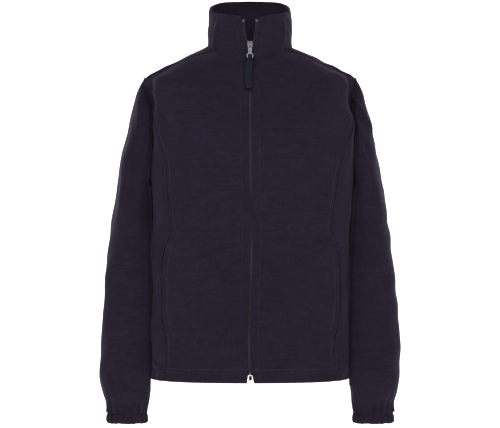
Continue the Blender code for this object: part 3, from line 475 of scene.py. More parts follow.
class Folds:
    """A set of folds."""

    def __init__(self, across: float, *rows: tuple[float, ...]) -> None:
        """Keeps the folds.

        Args:
            across: whether the first coordinate is in millimetres or in degrees.
            rows: each fold's two ends, width and height, in millimetres but for the first coordinate.
        """
        units = np.array([across, MILLIMETRES, across, MILLIMETRES, MILLIMETRES, MILLIMETRES])
        self.folds = [Fold(*map(float, np.array(row, float) / units)) for row in rows]

    def lift(self, across: Points, along: Points, scale: float = 1.0) -> Points:
        """How far they lift the cloth, as for one fold."""
        return sum(fold.lift(across, along, scale) for fold in self.folds)


@dataclass(frozen=True)
class Ripple:
    """The slow unevenness of cloth that hangs: a few long waves that never repeat."""

    seed: int
    height: float
    longest: float = 0.110
    shortest: float = 0.035
    waves: int = 9
    slope: float = 0.7

    def lift(self, points: Points) -> Points:
        """How far the waves lift the cloth.

        Args:
            points: the cloth's points.

        Returns:
            The height at each.
        """
        draws = np.random.default_rng(self.seed)
        total = np.zeros(points.shape[:-1])
        for length in np.geomspace(self.longest, self.shortest, self.waves):
            direction = unit(draws.normal(size=3))
            phase = draws.uniform(0.0, 2 * math.pi)
            wave = np.sin(points @ direction * 2 * math.pi / length + phase)
            total += wave * (length / self.longest) ** self.slope
        return total * self.height


class Line(NamedTuple):
    """A seam or stitch line, and how the cloth sinks or puckers along it."""

    path: Path
    depth: float
    width: float
    pucker: float = 0.0
    pitch: float = 0.011
    pucker_width: float = 0.0065
    reach: float = 0.014

    def lift(self, points: Points) -> Points:
        """How far the line lifts, or where negative sinks, the cloth.

        Args:
            points: the cloth's points.

        Returns:
            The height at each.
        """
        distance, number = nearest(points, self.path, self.width * 4 + self.reach)
        step = float(np.linalg.norm(self.path[1] - self.path[0]))
        run = number * step / self.pitch * 2 * math.pi
        wave = np.sin(run + 1.3 * np.sin(run * 0.37)) * (0.6 + 0.4 * np.sin(run * 0.21 + 1.0))
        return self.depth * bell(distance, self.width) + self.pucker * wave * bell(distance, self.pucker_width)


# ---------------------------------------------------------------- meshes


def add_object(name: str, data: bpy.types.ID) -> Piece:
    """Puts an object into the scene.

    Args:
        name: its name.
        data: its mesh, light or camera.

    Returns:
        The object.
    """
    thing = bpy.data.objects.new(name, data)
    bpy.context.scene.collection.objects.link(thing)
    return thing


def build_mesh(name: str, points: Points, faces: Sequence[Sequence[int]], finish: Material,
               sharp: float = 60.0) -> Piece:
    """Makes a piece from points and faces, shaded smooth but for sharp edges.

    Args:
        name: the piece's name.
        points: its points.
        faces: the numbers of each face's points.
        finish: its material.
        sharp: the angle past which an edge stays sharp, in degrees.

    Returns:
        The piece, in the scene.
    """
    mesh = bpy.data.meshes.new(name)
    mesh.from_pydata(np.asarray(points, float).reshape(-1, 3).tolist(), [], faces)
    mesh.materials.append(finish)
    mesh.shade_smooth()
    mesh.set_sharp_from_angle(angle=math.radians(sharp))
    return add_object(name, mesh)


def strip_faces(rows: int, columns: int, ring: bool, closed: bool = False) -> list[list[int]]:
    """The four-sided faces of a grid of points.

    Args:
        rows: how many rows it has.
        columns: how many columns.
        ring: whether the last column joins the first.
        closed: whether the last row joins the first.

    Returns:
        Four point numbers for each face.
    """
    i, j = np.meshgrid(np.arange(rows if closed else rows - 1), np.arange(columns if ring else columns - 1),
                       indexing="ij")
    i, j = i.ravel(), j.ravel()
    up, over = (i + 1) % rows, (j + 1) % columns
    return np.stack([i * columns + j, i * columns + over, up * columns + over, up * columns + j], axis=-1).tolist()


def rod_faces(rows: int, sides: int, count: int = 1) -> list[list[int]]:
    """The faces of capped rods.

    Args:
        rows: how many rings each has.
        sides: how many points each ring has.
        count: how many rods there are.

    Returns:
        The point numbers of each face.
    """
    caps = [list(range(sides - 1, -1, -1)), list(range((rows - 1) * sides, rows * sides))]
    rod = strip_faces(rows, sides, ring=True) + caps
    return [[rows * sides * number + k for k in face] for number in range(count) for face in rod]


def build_wall(name: str, face: Points, back: Points, finish: Material, ring: bool = False,
               lips: Span = (0.0, 0.0)) -> Piece:
    """Makes a closed wall of cloth between a grid and its back.

    Args:
        name: the piece's name.
        face: the outside, a grid of points.
        back: the same grid, moved in by the cloth's thickness.
        finish: its material.
        ring: whether its columns close on themselves.
        lips: how far the first and the last row's edges are rounded out.

    Returns:
        The piece.
    """
    rows, columns = face.shape[:2]
    strips = [face]
    if lips[1]:
        strips.append(((face[-1] + back[-1]) / 2 + unit(face[-1] - face[-2]) * lips[1])[None])
    strips.append(back[::-1])
    if lips[0]:
        strips.append(((face[0] + back[0]) / 2 + unit(face[0] - face[1]) * lips[0])[None])
    loop = np.concatenate(strips)
    faces = strip_faces(len(loop), columns, ring, closed=True)
    if not ring:
        around, top = len(loop), rows + bool(lips[1])
        for j, turned in ((0, False), (columns - 1, True)):
            ends = [(i, i + 1, top + rows - 2 - i, top + rows - 1 - i) for i in range(rows - 1)]
            if lips[1]:
                ends.append((rows - 1, rows, rows + 1))
            if lips[0]:
                ends.append((around - 2, around - 1, 0))
            faces += [[k * columns + j for k in (end[::-1] if turned else end)] for end in ends]
    return build_mesh(name, loop, faces, finish)


def grid_normals(grid: Points) -> Points:
    """The outward directions of a grid of points whose columns close on themselves."""
    across = np.roll(grid, -1, axis=1) - np.roll(grid, 1, axis=1)
    return unit(np.cross(across, np.gradient(grid, axis=0)))


SMALL_TURN = 0.2


def surface_normal(surface: Callable[[Points, Points], Points], first: Points, second: Points,
                   step: float) -> Points:
    """The outward direction of a surface of two coordinates.

    Args:
        surface: gives the points at a turn in degrees and a second coordinate.
        first: the turns.
        second: the second coordinates.
        step: the difference of the second coordinate that it is read by.

    Returns:
        One direction for each point.
    """
    across = surface(first + SMALL_TURN, second) - surface(first - SMALL_TURN, second)
    return unit(np.cross(across, surface(first, second + step) - surface(first, second - step)))


def for_side(grid: Points, side: Side) -> Points:
    """A grid of the left, or the same on the right with its faces still turned out."""
    return grid if side is Side.LEFT else grid[:, ::-1] * np.array([-1.0, 1.0, 1.0])[:grid.shape[-1]]


def between(first: Points, last: Points, shares: Points) -> Points:
    """A grid whose columns lie at these shares of the way between two edges."""
    return first[:, None, :] * (1 - shares[None, :, None]) + last[:, None, :] * shares[None, :, None]


# ---------------------------------------------------------------- the body's sizes, in metres and degrees

LOOPS = Table(
    "level half_width front back side_z front_z back_z square",
    (0.000, 0.1880, 0.1290, 0.122, -0.6310, -0.6320, -0.6310, 0.08),
    (0.060, 0.1878, 0.1300, 0.122, -0.5710, -0.5715, -0.5710, 0.07),
    (0.150, 0.1868, 0.1280, 0.113, -0.4810, -0.4810, -0.4810, 0.07),
    (0.255, 0.1855, 0.1240, 0.101, -0.3760, -0.3760, -0.3760, 0.07),
    (0.330, 0.1860, 0.1280, 0.105, -0.3010, -0.3010, -0.3010, 0.08),
    (0.369, 0.1868, 0.1310, 0.110, -0.2620, -0.2620, -0.2620, 0.08),
    (0.411, 0.1875, 0.1325, 0.113, -0.2200, -0.2200, -0.2180, 0.08),
    (0.470, 0.1880, 0.1300, 0.113, -0.1600, -0.1630, -0.1520, 0.08),
    (0.520, 0.1930, 0.1210, 0.106, -0.1130, -0.1200, -0.0980, 0.07),
    (0.556, 0.1985, 0.1130, 0.094, -0.0628, -0.0880, -0.0560, 0.06),
    (0.590, 0.1680, 0.1070, 0.083, -0.0450, -0.0700, -0.0330, 0.05),
    (0.620, 0.1380, 0.1020, 0.074, -0.0295, -0.0570, -0.0170, 0.04),
    (0.650, 0.1090, 0.0975, 0.067, -0.0155, -0.0470, -0.0050, 0.03),
    (0.675, 0.0795, 0.0935, 0.061, -0.0040, -0.0380, 0.0040, 0.02),
)
PRINCESS = Table(
    "level x",
    (0.000, 0.1590), (0.040, 0.1560), (0.083, 0.1570), (0.111, 0.1615), (0.150, 0.1640), (0.201, 0.1635),
    (0.231, 0.1600), (0.255, 0.1530), (0.272, 0.1455), (0.300, 0.1460), (0.357, 0.1515), (0.390, 0.1545),
    (0.422, 0.1605), (0.461, 0.1725), (0.486, 0.1795), (0.510, 0.1872),
)
ZIP_EDGE = Table("level x", (0.000, 0.0062), (0.012, 0.0040), (0.024, 0.0027), (0.675, 0.0027))
ZIP_DRIFT = Table(
    "level x",
    (0.000, 0.0010), (0.040, -0.0012), (0.240, 0.0028), (0.420, 0.0008), (0.560, 0.0), (0.675, 0.0),
)
V_EDGE = Table(
    "z x",
    (-0.038, 0.0027), (-0.026, 0.0030), (-0.012, 0.0060), (0.000, 0.0076), (0.006, 0.0099), (0.012, 0.0112),
    (0.024, 0.0132), (0.040, 0.0152),
)
V_CHAIN = Table(
    "z x",
    (-0.038, 0.00125), (-0.009, 0.00125), (-0.004, 0.0019), (0.000, 0.0040), (0.004, 0.0064), (0.010, 0.0084),
    (0.024, 0.0106), (0.040, 0.0126),
)
RIM = Table(
    "turn z",
    (0.0, 0.0445), (12.0, 0.0452), (36.0, 0.0507), (60.0, 0.0558), (75.0, 0.0602), (90.0, 0.0674), (105.0, 0.0748),
    (117.0, 0.0790), (131.0, 0.0836), (155.0, 0.0872), (180.0, 0.0885),
)
RINGS = Table(
    "number outer_x outer_z inner_x inner_z front back middle_y",
    (1, 0.2090, -0.0770, 0.1892, -0.2650, 0.060, 0.084, 0.000),
    (2, 0.2155, -0.0905, 0.1895, -0.2680, 0.063, 0.083, 0.001),
    (3, 0.2198, -0.1080, 0.1897, -0.2715, 0.066, 0.082, 0.002),
    (4, 0.2248, -0.1300, 0.1898, -0.2755, 0.067, 0.080, 0.003),
    (5, 0.2310, -0.1560, 0.1899, -0.2805, 0.069, 0.078, 0.004),
    (6, 0.2372, -0.1840, 0.1899, -0.2870, 0.070, 0.076, 0.004),
    (7, 0.2432, -0.2140, 0.1899, -0.2955, 0.070, 0.074, 0.004),
    (8, 0.2490, -0.2450, 0.1890, -0.3070, 0.068, 0.072, 0.004),
    (9, 0.2540, -0.2760, 0.1882, -0.3220, 0.067, 0.070, 0.004),
    (10, 0.2592, -0.3120, 0.1872, -0.3440, 0.065, 0.067, 0.003),
    (11, 0.2642, -0.3520, 0.1862, -0.3710, 0.062, 0.063, 0.001),
    (12, 0.2692, -0.3950, 0.1852, -0.4050, 0.058, 0.059, -0.002),
    (13, 0.2742, -0.4420, 0.1846, -0.4460, 0.054, 0.055, -0.006),
    (14, 0.2784, -0.4900, 0.1846, -0.4910, 0.050, 0.050, -0.010),
    (15, 0.2816, -0.5350, 0.1850, -0.5350, 0.047, 0.047, -0.014),
    (16, 0.2838, -0.5750, 0.1856, -0.5750, 0.044, 0.044, -0.018),
    (17, 0.2842, -0.6120, 0.1860, -0.6120, 0.042, 0.042, -0.022),
    (18, 0.2828, -0.6400, 0.1864, -0.6400, 0.040, 0.040, -0.024),
    (19, 0.2776, -0.6600, 0.1872, -0.6600, 0.037, 0.037, -0.025),
    (20, 0.2722, -0.6740, 0.1894, -0.6740, 0.032, 0.032, -0.026),
    (21, 0.2700, -0.6850, 0.1922, -0.6850, 0.029, 0.029, -0.026),
    (22, 0.2700, -0.6935, 0.1940, -0.6935, 0.028, 0.028, -0.026),
)
CUFF_RINGS = Table(
    "drop outer_x inner_x depth",
    (0.0000, 0.2700, 0.1940, 0.0280), (0.0027, 0.2696, 0.1944, 0.0276), (0.0102, 0.2708, 0.1936, 0.0290),
    (0.0172, 0.2704, 0.1940, 0.0288), (0.0207, 0.2692, 0.1952, 0.0280),
)
SIDE_SWAY = Table(
    "depth out",
    (0.000, 0.0), (0.060, 0.0), (0.100, 0.0040), (0.125, 0.0110), (0.150, 0.0150), (0.172, 0.0120), (0.190, 0.0115),
    (0.240, 0.0105), (0.293, 0.0075), (0.368, 0.0040), (0.460, 0.0030), (0.600, 0.0), (0.900, 0.0),
)
BODY_FOLDS = Folds(
    DEGREES,
    (68, 575, 71, 500, 21, -11), (-68, 575, -71, 500, 21, -11), (80, 2, 90, 12, 20, 3), (-80, 2, -90, 12, 20, 3),
    (66, 470, 52, 400, 16, 3), (58, 500, 44, 450, 20, -2.4), (48, 330, 44, 200, 20, 2.6),
    (34, 290, 36, 100, 26, -2.2), (72, 300, 76, 60, 14, 2.8), (84, 330, 82, 120, 12, -2.2),
    (-63, 500, -50, 430, 18, 2.8), (-52, 380, -46, 260, 18, 2.6), (-38, 260, -34, 60, 26, 2.2),
    (-74, 320, -72, 80, 14, 2.6), (-84, 300, -86, 100, 12, -2.4), (24, 630, 34, 590, 12, -1.8),
    (-20, 640, -36, 600, 12, -1.8), (118, 430, 138, 330, 22, 3.4), (126, 360, 150, 270, 24, -2.8),
    (-116, 440, -140, 350, 22, 3.4), (-122, 370, -148, 250, 24, -2.8), (150, 230, 166, 80, 26, 2.6),
    (-154, 220, -166, 60, 28, 2.8), (172, 610, 150, 575, 18, -2.2), (-172, 610, -148, 572, 18, -2.2),
    (108, 250, 104, 60, 16, 2.6), (-106, 260, -108, 50, 16, 2.6),
)
FRONT_CREASES = Folds(
    MILLIMETRES,
    (178, -80, 192, -103, 2.4, 3), (190, -138, 187, -225, 6, 1.8), (-166, -78, -182, -98, 4, 2.8),
    (-184, -100, -188, -126, 4, 2.8), (-150, -352, -142, -362, 2.2, 1.6), (-150, -362, -143, -353, 2.2, 1.3),
    (156, -352, 149, -364, 2.2, 1.6), (148, -354, 157, -363, 2.2, 1.3), (-190, -598, -163, -612, 4.5, 3),
    (-168, -618, -155, -626, 4, 2.2), (165, -600, 182, -614, 4.5, 2.8), (160, -620, 172, -627, 4, 2.2),
    (-124, -194, -141, -249, 12, 1.8), (-129, -281, -141, -321, 13, 2.2), (-126, -326, -145, -376, 10, 2),
    (-112, -245, -129, -309, 12, -1.6), (-149, -365, -148, -464, 5, 2.2), (-133, -427, -139, -480, 9, -1.8),
    (-135, -376, -131, -441, 12, -1.2), (-147, -505, -147, -561, 8, 1.2), (-99, -376, -82, -473, 20, 1.6),
    (-73, -473, -101, -538, 18, -1.4), (-152, -102, -161, -166, 16, -2), (-92, -65, -124, -120, 18, 1.4),
    (-46, -51, -13, -88, 9, -1.2), (-101, -203, -103, -295, 18, 1.5), (-69, -185, -76, -258, 20, -1.3),
    (-163, -120, -147, -185, 9, -1.6), (-27, -404, -69, -441, 22, -1), (-46, -482, -64, -561, 20, 1.3),
    (-133, -551, -87, -579, 16, -1.2), (136, -349, 148, -379, 4.5, -2.4), (146, -356, 153, -372, 4, 2.2),
    (125, -344, 141, -390, 7, 1.8), (132, -390, 148, -441, 8, 1.4), (148, -363, 169, -365, 4, 1.6),
    (156, -372, 159, -533, 5, 2.2), (133, -524, 150, -561, 6, 2.6), (127, -538, 146, -579, 7, -1.8),
    (150, -561, 157, -616, 6, 1.8), (120, -222, 106, -268, 12, 1.8), (139, -226, 129, -295, 13, -1.6),
    (106, -268, 120, -321, 14, 1.2), (83, -212, 65, -277, 20, -1.4), (176, -185, 157, -249, 8, 1.4),
    (157, -120, 194, -157, 8, -1.8), (148, -93, 189, -143, 10, 1.6), (192, -159, 176, -185, 6, 2.2),
    (37, -46, 65, -79, 14, 1.2), (19, -51, 33, -111, 12, -1.2), (65, -390, 56, -473, 20, 1.5),
    (93, -459, 83, -538, 18, -1.5), (47, -496, 33, -561, 18, 1.2), (111, -404, 106, -473, 16, 1),
    (93, -65, 129, -120, 20, 1.2), (10, -203, 19, -314, 14, 0.9),
)
BACK_CREASES = Folds(
    MILLIMETRES,
    (-150, -120, -105, -215, 13, 2.2), (-135, -110, -80, -190, 15, -1.7), (152, -125, 108, -205, 13, 2.1),
    (130, -115, 85, -180, 14, -1.6), (-60, -345, 35, -372, 13, 1.9), (-40, -372, 70, -391, 14, -1.8),
    (10, -330, 105, -349, 12, 1.6), (-120, -385, -30, -410, 12, 1.5), (-140, -300, -96, -352, 12, 1.9),
    (142, -305, 100, -350, 12, 1.8), (-90, -430, -105, -575, 18, 1.8), (60, -450, 72, -590, 20, 1.7),
    (-15, -480, -22, -600, 20, -1.5), (130, -420, 138, -560, 13, -1.6), (-45, -40, 20, -52, 10, -1.2),
    (12, -72, 80, -85, 13, 1.2), (-30, -150, 20, -260, 24, 1.2),
)
SLEEVE_FOLDS = {
    Side.RIGHT: Folds(
        DEGREES,
        (40, -90, 58, -300, 11, 4), (82, -120, 96, -330, 14, -3.4), (70, -360, 104, -430, 12, 2.6),
        (60, -430, 100, -500, 14, -2.6), (48, -520, 66, -640, 14, 2.6), (250, -330, 300, -380, 13, -3.4),
        (240, -380, 300, -420, 13, 3.4), (300, -150, 280, -290, 16, 3.4),
    ),
    Side.LEFT: Folds(
        DEGREES,
        (84, -90, 26, -160, 10, 4), (100, -140, 60, -220, 12, -3.4), (56, -250, 74, -420, 16, 2.6),
        (98, -390, 60, -450, 12, -2.6), (64, -500, 54, -640, 16, 2.8), (250, -340, 300, -370, 13, 3.4),
        (244, -370, 300, -415, 13, -3.4), (290, -140, 272, -280, 16, 3.4),
    ),
}
SLEEVE_CREASES = {
    Side.RIGHT: Folds(
        DEGREES,
        (33, -86, 56, -162, 5, 6.2), (56, -162, 66, -240, 8, 4.5), (60, -108, 78, -170, 6, -4),
        (86, -170, 104, -245, 8, -2.4), (96, -120, 76, -175, 7, -1.4), (118, -170, 92, -225, 8, 1.5),
        (70, -215, 84, -285, 9, 1.2), (112, -300, 88, -335, 8, 1.6), (60, -330, 84, -372, 9, -1.4),
        (116, -385, 86, -402, 8, 1.5), (50, -400, 76, -452, 10, 1.3), (104, -440, 78, -478, 9, -1.4),
        (92, -515, 70, -560, 10, 1.3), (112, -565, 104, -640, 7, 1.4), (62, -590, 70, -660, 7, -1.4),
        (84, -615, 88, -672, 6, 1.5), (262, -360, 292, -395, 8, 1.6), (250, -300, 280, -330, 9, -1.4),
        (276, -470, 262, -540, 10, 1.4), (284, -600, 272, -665, 7, 1.4),
    ),
    Side.LEFT: Folds(
        DEGREES,
        (47, -100, 42, -118, 3.2, 4.2), (42, -118, 39, -140, 3.2, 3.6), (52, -122, 60, -158, 4.5, -2.6),
        (60, -170, 84, -235, 9, -1.3), (116, -190, 96, -250, 8, 1.4), (76, -275, 92, -330, 9, 1.3),
        (56, -340, 82, -362, 8, -1.5), (114, -352, 86, -384, 8, 1.6), (64, -392, 92, -430, 9, 1.4),
        (102, -455, 74, -488, 10, -1.3), (58, -520, 78, -575, 10, 1.3), (108, -545, 98, -620, 8, 1.4),
        (74, -600, 68, -665, 7, 1.5), (94, -628, 90, -674, 6, -1.4), (258, -350, 290, -380, 8, -1.6),
        (252, -395, 286, -428, 9, 1.5), (270, -480, 282, -555, 10, 1.4), (266, -595, 280, -660, 7, 1.4),
    ),
}
COLLAR_CREASES = Folds(
    DEGREES,
    (18, 2, 30, 20, 4, 1.2), (34, 4, 30, 26, 4.5, -1.2), (-22, 0, -40, 18, 4.5, 1.2), (-46, 4, -38, 24, 4, -1.1),
    (46, 6, 54, 44, 4, 5), (-56, 4, -50, 44, 4, 5), (150, 4, 166, 24, 6, 1), (-155, 2, -172, 22, 6, -1),
    (-128, 6, -134, 50, 6, 1.2), (130, 6, 124, 46, 6, 1.2),
)

CLOTH = 0.0026
HEM_CLOTH = 0.0042
COLLAR_CLOTH = 0.0044
GAP = 0.0003
HEM_STITCH_LEVEL = 0.024
UNDERARM_LEVEL = 0.369
SHOULDER_LEVEL = 0.556
NECK_LEVEL = 0.675
PRINCESS_TOP = 0.510
PRINCESS_STOP = 120.5
SHOULDER_SEAM_STOP = 150.0
SIDE_SEAM_TURN = 90.0
NECK_SEAM_TURN = 60.0
GRID = 0.0028
FINE = 0.0013
EDGE = 0.0100
SEAM_SINK = -0.0009
SEAM_WIDTH = 0.0016
WELT = 0.0024
WELT_WIDTH = 0.0030
NECK_LIFT = 0.0012
NECK_WIDTH = 0.0060
ARMHOLE_SINK = -0.0006
STITCH_SINK = -0.0009
STITCH_WIDTH = 0.0017
EDGE_STITCH_SINK = -0.00081
ZIP_STITCH_SINK = -0.0004
SMALL_LEVEL = 0.0008


@dataclass(frozen=True)
class BodyForm:
    """The body's one surface: a smooth form from its loops, lifted by folds, ripples and seams."""

    armhole_front: float = 19.0
    armhole_back: float = 30.0
    turn_length: float = 0.16
    hem_rise: float = 0.0007
    hem_blend: float = 0.002
    sway_turns: tuple[float, float, float, float] = (25.0, 55.0, 105.0, 145.0)
    facing: Span = (0.15, 0.45)
    pucker_turns: Span = (58.0, 122.0)
    pucker_width: float = 12.0
    pucker_wave: float = 30.0
    pucker_depth: float = 0.0016
    pucker_level: float = 0.016
    ripple: Ripple = Ripple(seed=11, height=0.0007)
    rippled_from: float = 0.03
    rounds: int = 12

    def smooth_form(self, turn: Points, level: Points) -> Points:
        """The form before any fold.

        Args:
            turn: degrees round the body.
            level: metres of cloth up from the hem.

        Returns:
            The points there.
        """
        turn, level = np.broadcast_arrays(np.asarray(turn, float), np.asarray(level, float))
        part = {name: LOOPS.smooth(name, level) for name in LOOPS.columns if name != "level"}
        sine, cosine = np.sin(np.radians(turn)), np.cos(np.radians(turn))
        boost = swell(part["square"], np.radians(turn))
        depth = np.where(cosine > 0, part["front"], part["back"])
        end_z = np.where(cosine > 0, part["front_z"], part["back_z"])
        z = part["side_z"] + (end_z - part["side_z"]) * cosine**2
        start, full, ebb, end = self.sway_turns
        off = np.abs(signed(turn))
        swayed = smooth_step(start, full, off) * (1.0 - smooth_step(ebb, end, off)) * (sine > 0)
        x = part["half_width"] * sine * boost + SIDE_SWAY.smooth("out", -z) * swayed
        return np.stack([x, -depth * cosine * boost, z], axis=-1)

    def normal(self, turn: Points, level: Points, plain: bool = False) -> Points:
        """The outward direction of the cloth, or of its form without any fold."""
        return surface_normal(self.smooth_form if plain else self.face, turn, level, SMALL_LEVEL)

    def fold_height(self, turn: Points, level: Points) -> Points:
        """How far the largest folds and the hem's puckers lift the cloth.

        Args:
            turn: degrees round the body.
            level: metres up from the hem.

        Returns:
            The height at each place.
        """
        turn = signed(turn)
        height = BODY_FOLDS.lift(turn, level, math.radians(1) * self.turn_length)
        for pucker in self.pucker_turns:
            off = np.abs(turn) - pucker
            wave = np.cos(np.radians(off * self.pucker_wave)) * bell(off, self.pucker_width)
            height = height + self.pucker_depth * wave * bell(level, self.pucker_level)
        return height

    def turned_up(self, level: Points) -> Points:
        """1 where the hem is turned up, 0 above its stitches."""
        return 1.0 - smooth_step(HEM_STITCH_LEVEL, HEM_STITCH_LEVEL + self.hem_blend, level)

    def face(self, turn: Points, level: Points) -> Points:
        """The outside of the cloth with its largest folds and its turned-up hem."""
        lift = self.fold_height(turn, level) + self.hem_rise * self.turned_up(level)
        return self.smooth_form(turn, level) + self.normal(turn, level, plain=True) * lift[..., None]

    def dressed(self, turn: Points, level: Points, lines: Sequence[Line] = ()) -> tuple[Points, Points]:
        """The outside of the cloth with every crease and stitch line on it.

        Args:
            turn: degrees round the body.
            level: metres up from the hem.
            lines: the seams and stitch lines near it.

        Returns:
            The points, and the outward directions before the creases.
        """
        points, normal = self.face(turn, level), self.normal(turn, level)
        x, z, forward = points[..., 0], points[..., 2], np.cos(np.radians(turn))
        height = FRONT_CREASES.lift(x, z) * smooth_step(*self.facing, forward)
        height = height + BACK_CREASES.lift(x, z) * smooth_step(*self.facing, -forward)
        height = height + self.ripple.lift(points) * smooth_step(0.0, self.rippled_from, level)
        for line in lines:
            height = height + line.lift(points)
        return points + normal * height[..., None], normal

    def thickness(self, level: Points) -> Points:
        """The cloth's thickness, greater where the hem is turned up."""
        return CLOTH + (HEM_CLOTH - CLOTH) * self.turned_up(level)

    def turn_at(self, x: Points, level: Points) -> Points:
        """The turn on the front where the form has a given x.

        Args:
            x: the x wanted.
            level: metres up from the hem.

        Returns:
            Degrees round the body.
        """
        half_width, square = LOOPS.smooth("half_width", level), LOOPS.smooth("square", level)
        turn = np.zeros(np.broadcast(x, level).shape)
        for _ in range(self.rounds):
            turn = np.arcsin(np.clip(x / (half_width * swell(square, turn)), -1.0, 1.0))
        return np.degrees(turn)

    def armhole(self, angle: Points) -> Points:
        """Places on the left armhole: 0 is the underarm, 90 the front, 180 the shoulder, 270 the back.

        Args:
            angle: degrees round the armhole.

        Returns:
            A turn and a level for each.
        """
        sine = np.sin(np.radians(angle))
        turn = SIDE_SEAM_TURN - np.where(sine > 0, self.armhole_front, self.armhole_back) * sine
        middle, half = (UNDERARM_LEVEL + SHOULDER_LEVEL) / 2, (SHOULDER_LEVEL - UNDERARM_LEVEL) / 2
        return np.stack([turn, middle - half * np.cos(np.radians(angle))], axis=-1)

    def princess(self, levels: Points) -> Points:
        """Places on the left princess seam at these levels."""
        return np.stack([self.turn_at(PRINCESS.smooth("x", levels), levels), levels], axis=-1)

    def shoulder_seam(self, count: int) -> Points:
        """Places on the left shoulder seam, from the armhole to the neck."""
        share = np.linspace(0.0, 1.0, count)[:, None]
        return self.armhole(np.array(SHOULDER_SEAM_STOP)) * (1 - share) + share * (NECK_SEAM_TURN, NECK_LEVEL)

    def path(self, places: Points, side: Side, offset: float = 0.0) -> Path:
        """A path on the cloth through places given for the left.

        Args:
            places: turns and levels.
            side: the side to put it on.
            offset: how far to move it along the cloth, to the right of the way it runs on the left.

        Returns:
            The path's points.
        """
        turn, level = places[:, 0] * side.value, places[:, 1]
        points = self.face(turn, level)
        if offset:
            across = np.cross(np.gradient(points, axis=0), self.normal(turn, level))
            points = points + unit(across) * offset * side.value
        return even_path(points)


BODY = BodyForm()


def zip_edge(levels: Points, side: Side, offset: float = 0.0) -> Points:
    """Places along the front's edge beside the zip, as turns and levels of the left.

    Args:
        levels: metres up from the hem.
        side: the side of the front.
        offset: metres from the edge, away from the zip.

    Returns:
        A turn and a level for each.
    """
    x = ZIP_EDGE.straight("x", levels) + side.value * ZIP_DRIFT.smooth("x", levels) + offset
    return np.stack([BODY.turn_at(x, levels), levels], axis=-1)


def pocket_mouth(level: Points) -> Points:
    """1 along a pocket mouth, 0 above and below it."""
    return smooth_step(0.084, 0.094, level) * (1.0 - smooth_step(0.255, 0.265, level))


@dataclass
class Seams:
    """Every seam and stitch line of the body, as paths on its cloth. An inset is a row's distance from its seam."""

    zip_inset: float = 0.0140
    edge_inset: float = -0.0062
    mouth_inset: float = -0.0135
    shoulder_inset: float = -0.0065
    over_mouth: float = 0.268
    mouth: Span = (0.088, 0.262)
    under_mouth: Span = (0.026, 0.080)
    zip_stop: float = 0.006
    spacing: float = 0.004
    fine_spacing: float = 0.003
    pucker: float = 0.0009
    shoulder_pucker: float = 0.0002
    armhole_pucker: float = 0.0004
    lines: list[Line] = field(default_factory=list)
    stitches: dict[str, list[Path]] = field(default_factory=dict)

    def __post_init__(self) -> None:
        """Works out the paths."""
        hem_turns, neck_turns = spaced(-178.5, 181.5, 0.8), spaced(3.0, 357.0, 1.0)
        hem = even_path(BODY.face(hem_turns, np.full(len(hem_turns), HEM_STITCH_LEVEL)))
        self.add("hem", hem, STITCH_SINK, 0.00035)
        for side in Side:
            self.add_side(side)
        neck = even_path(BODY.face(neck_turns, np.full(len(neck_turns), NECK_LEVEL)))
        self.lines.append(Line(neck, NECK_LIFT, NECK_WIDTH))

    def add(self, name: str, path: Path, sink: float, pucker: float) -> None:
        """Adds a topstitched line and the stitches on it."""
        self.lines.append(Line(path, sink, STITCH_WIDTH, pucker))
        self.stitches[name] = [path]

    def seam(self, path: Path, pucker: float, sink: float = SEAM_SINK) -> None:
        """Adds a plain seam: it sinks, and the cloth is fuller beside it."""
        self.lines += [Line(path, sink - WELT, SEAM_WIDTH), Line(path, WELT, WELT_WIDTH, pucker)]

    def add_side(self, side: Side) -> None:
        """Adds one side's seams and stitch lines.

        Args:
            side: the side.
        """
        low = spaced(0.0, PRINCESS_TOP, self.spacing)
        front = zip_edge(spaced(0.0, NECK_LEVEL - self.zip_stop, self.spacing), side, self.zip_inset)
        self.add(f"zip_{side.word}", BODY.path(front, side), ZIP_STITCH_SINK, 0.00022)
        self.seam(BODY.path(BODY.princess(low), side), self.pucker)
        for name, levels, inset, sink, pucker in (
            ("princess", low[low > self.over_mouth], self.edge_inset, EDGE_STITCH_SINK, 0.0003),
            ("mouth", spaced(*self.mouth, self.fine_spacing), self.mouth_inset, STITCH_SINK, 0.0002),
            ("lower", spaced(*self.under_mouth, self.fine_spacing), self.edge_inset, EDGE_STITCH_SINK, 0.0002),
        ):
            self.add(f"{name}_{side.word}", BODY.path(BODY.princess(levels), side, inset), sink, pucker)
        shoulder = BODY.shoulder_seam(60)
        self.seam(BODY.path(shoulder, side), self.shoulder_pucker)
        row = BODY.path(shoulder[1:-1], side, self.shoulder_inset)
        self.add(f"shoulder_{side.word}", row, STITCH_SINK, self.shoulder_pucker)
        self.seam(BODY.path(BODY.armhole(spaced(0.0, 360.0, 2.0)), side), self.armhole_pucker, ARMHOLE_SINK)
        side_seam = upright(SIDE_SEAM_TURN, spaced(0.0, UNDERARM_LEVEL, self.spacing))
        self.seam(BODY.path(side_seam, side), self.pucker)


# ---------------------------------------------------------------- placing pieces


@dataclass(frozen=True)
class Cut:
    """A sheet's flat size before it is sewn, in metres and square metres, and what it hangs from."""

    width: float
    length: float
    area: float
    hangs_from: tuple[str, ...] = ()
    held: Held = Held.HUNG


def place(piece: Piece, nodes: Sequence[str] = (), body: str = "jacket") -> Piece:
    """Ties a piece to the frame.

    Args:
        piece: the piece.
        nodes: the nodes of the frame that it stands for.
        body: the body that it moves with.

    Returns:
        The piece.
    """
    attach(piece, body)
    if nodes:
        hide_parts(*nodes)
    return piece


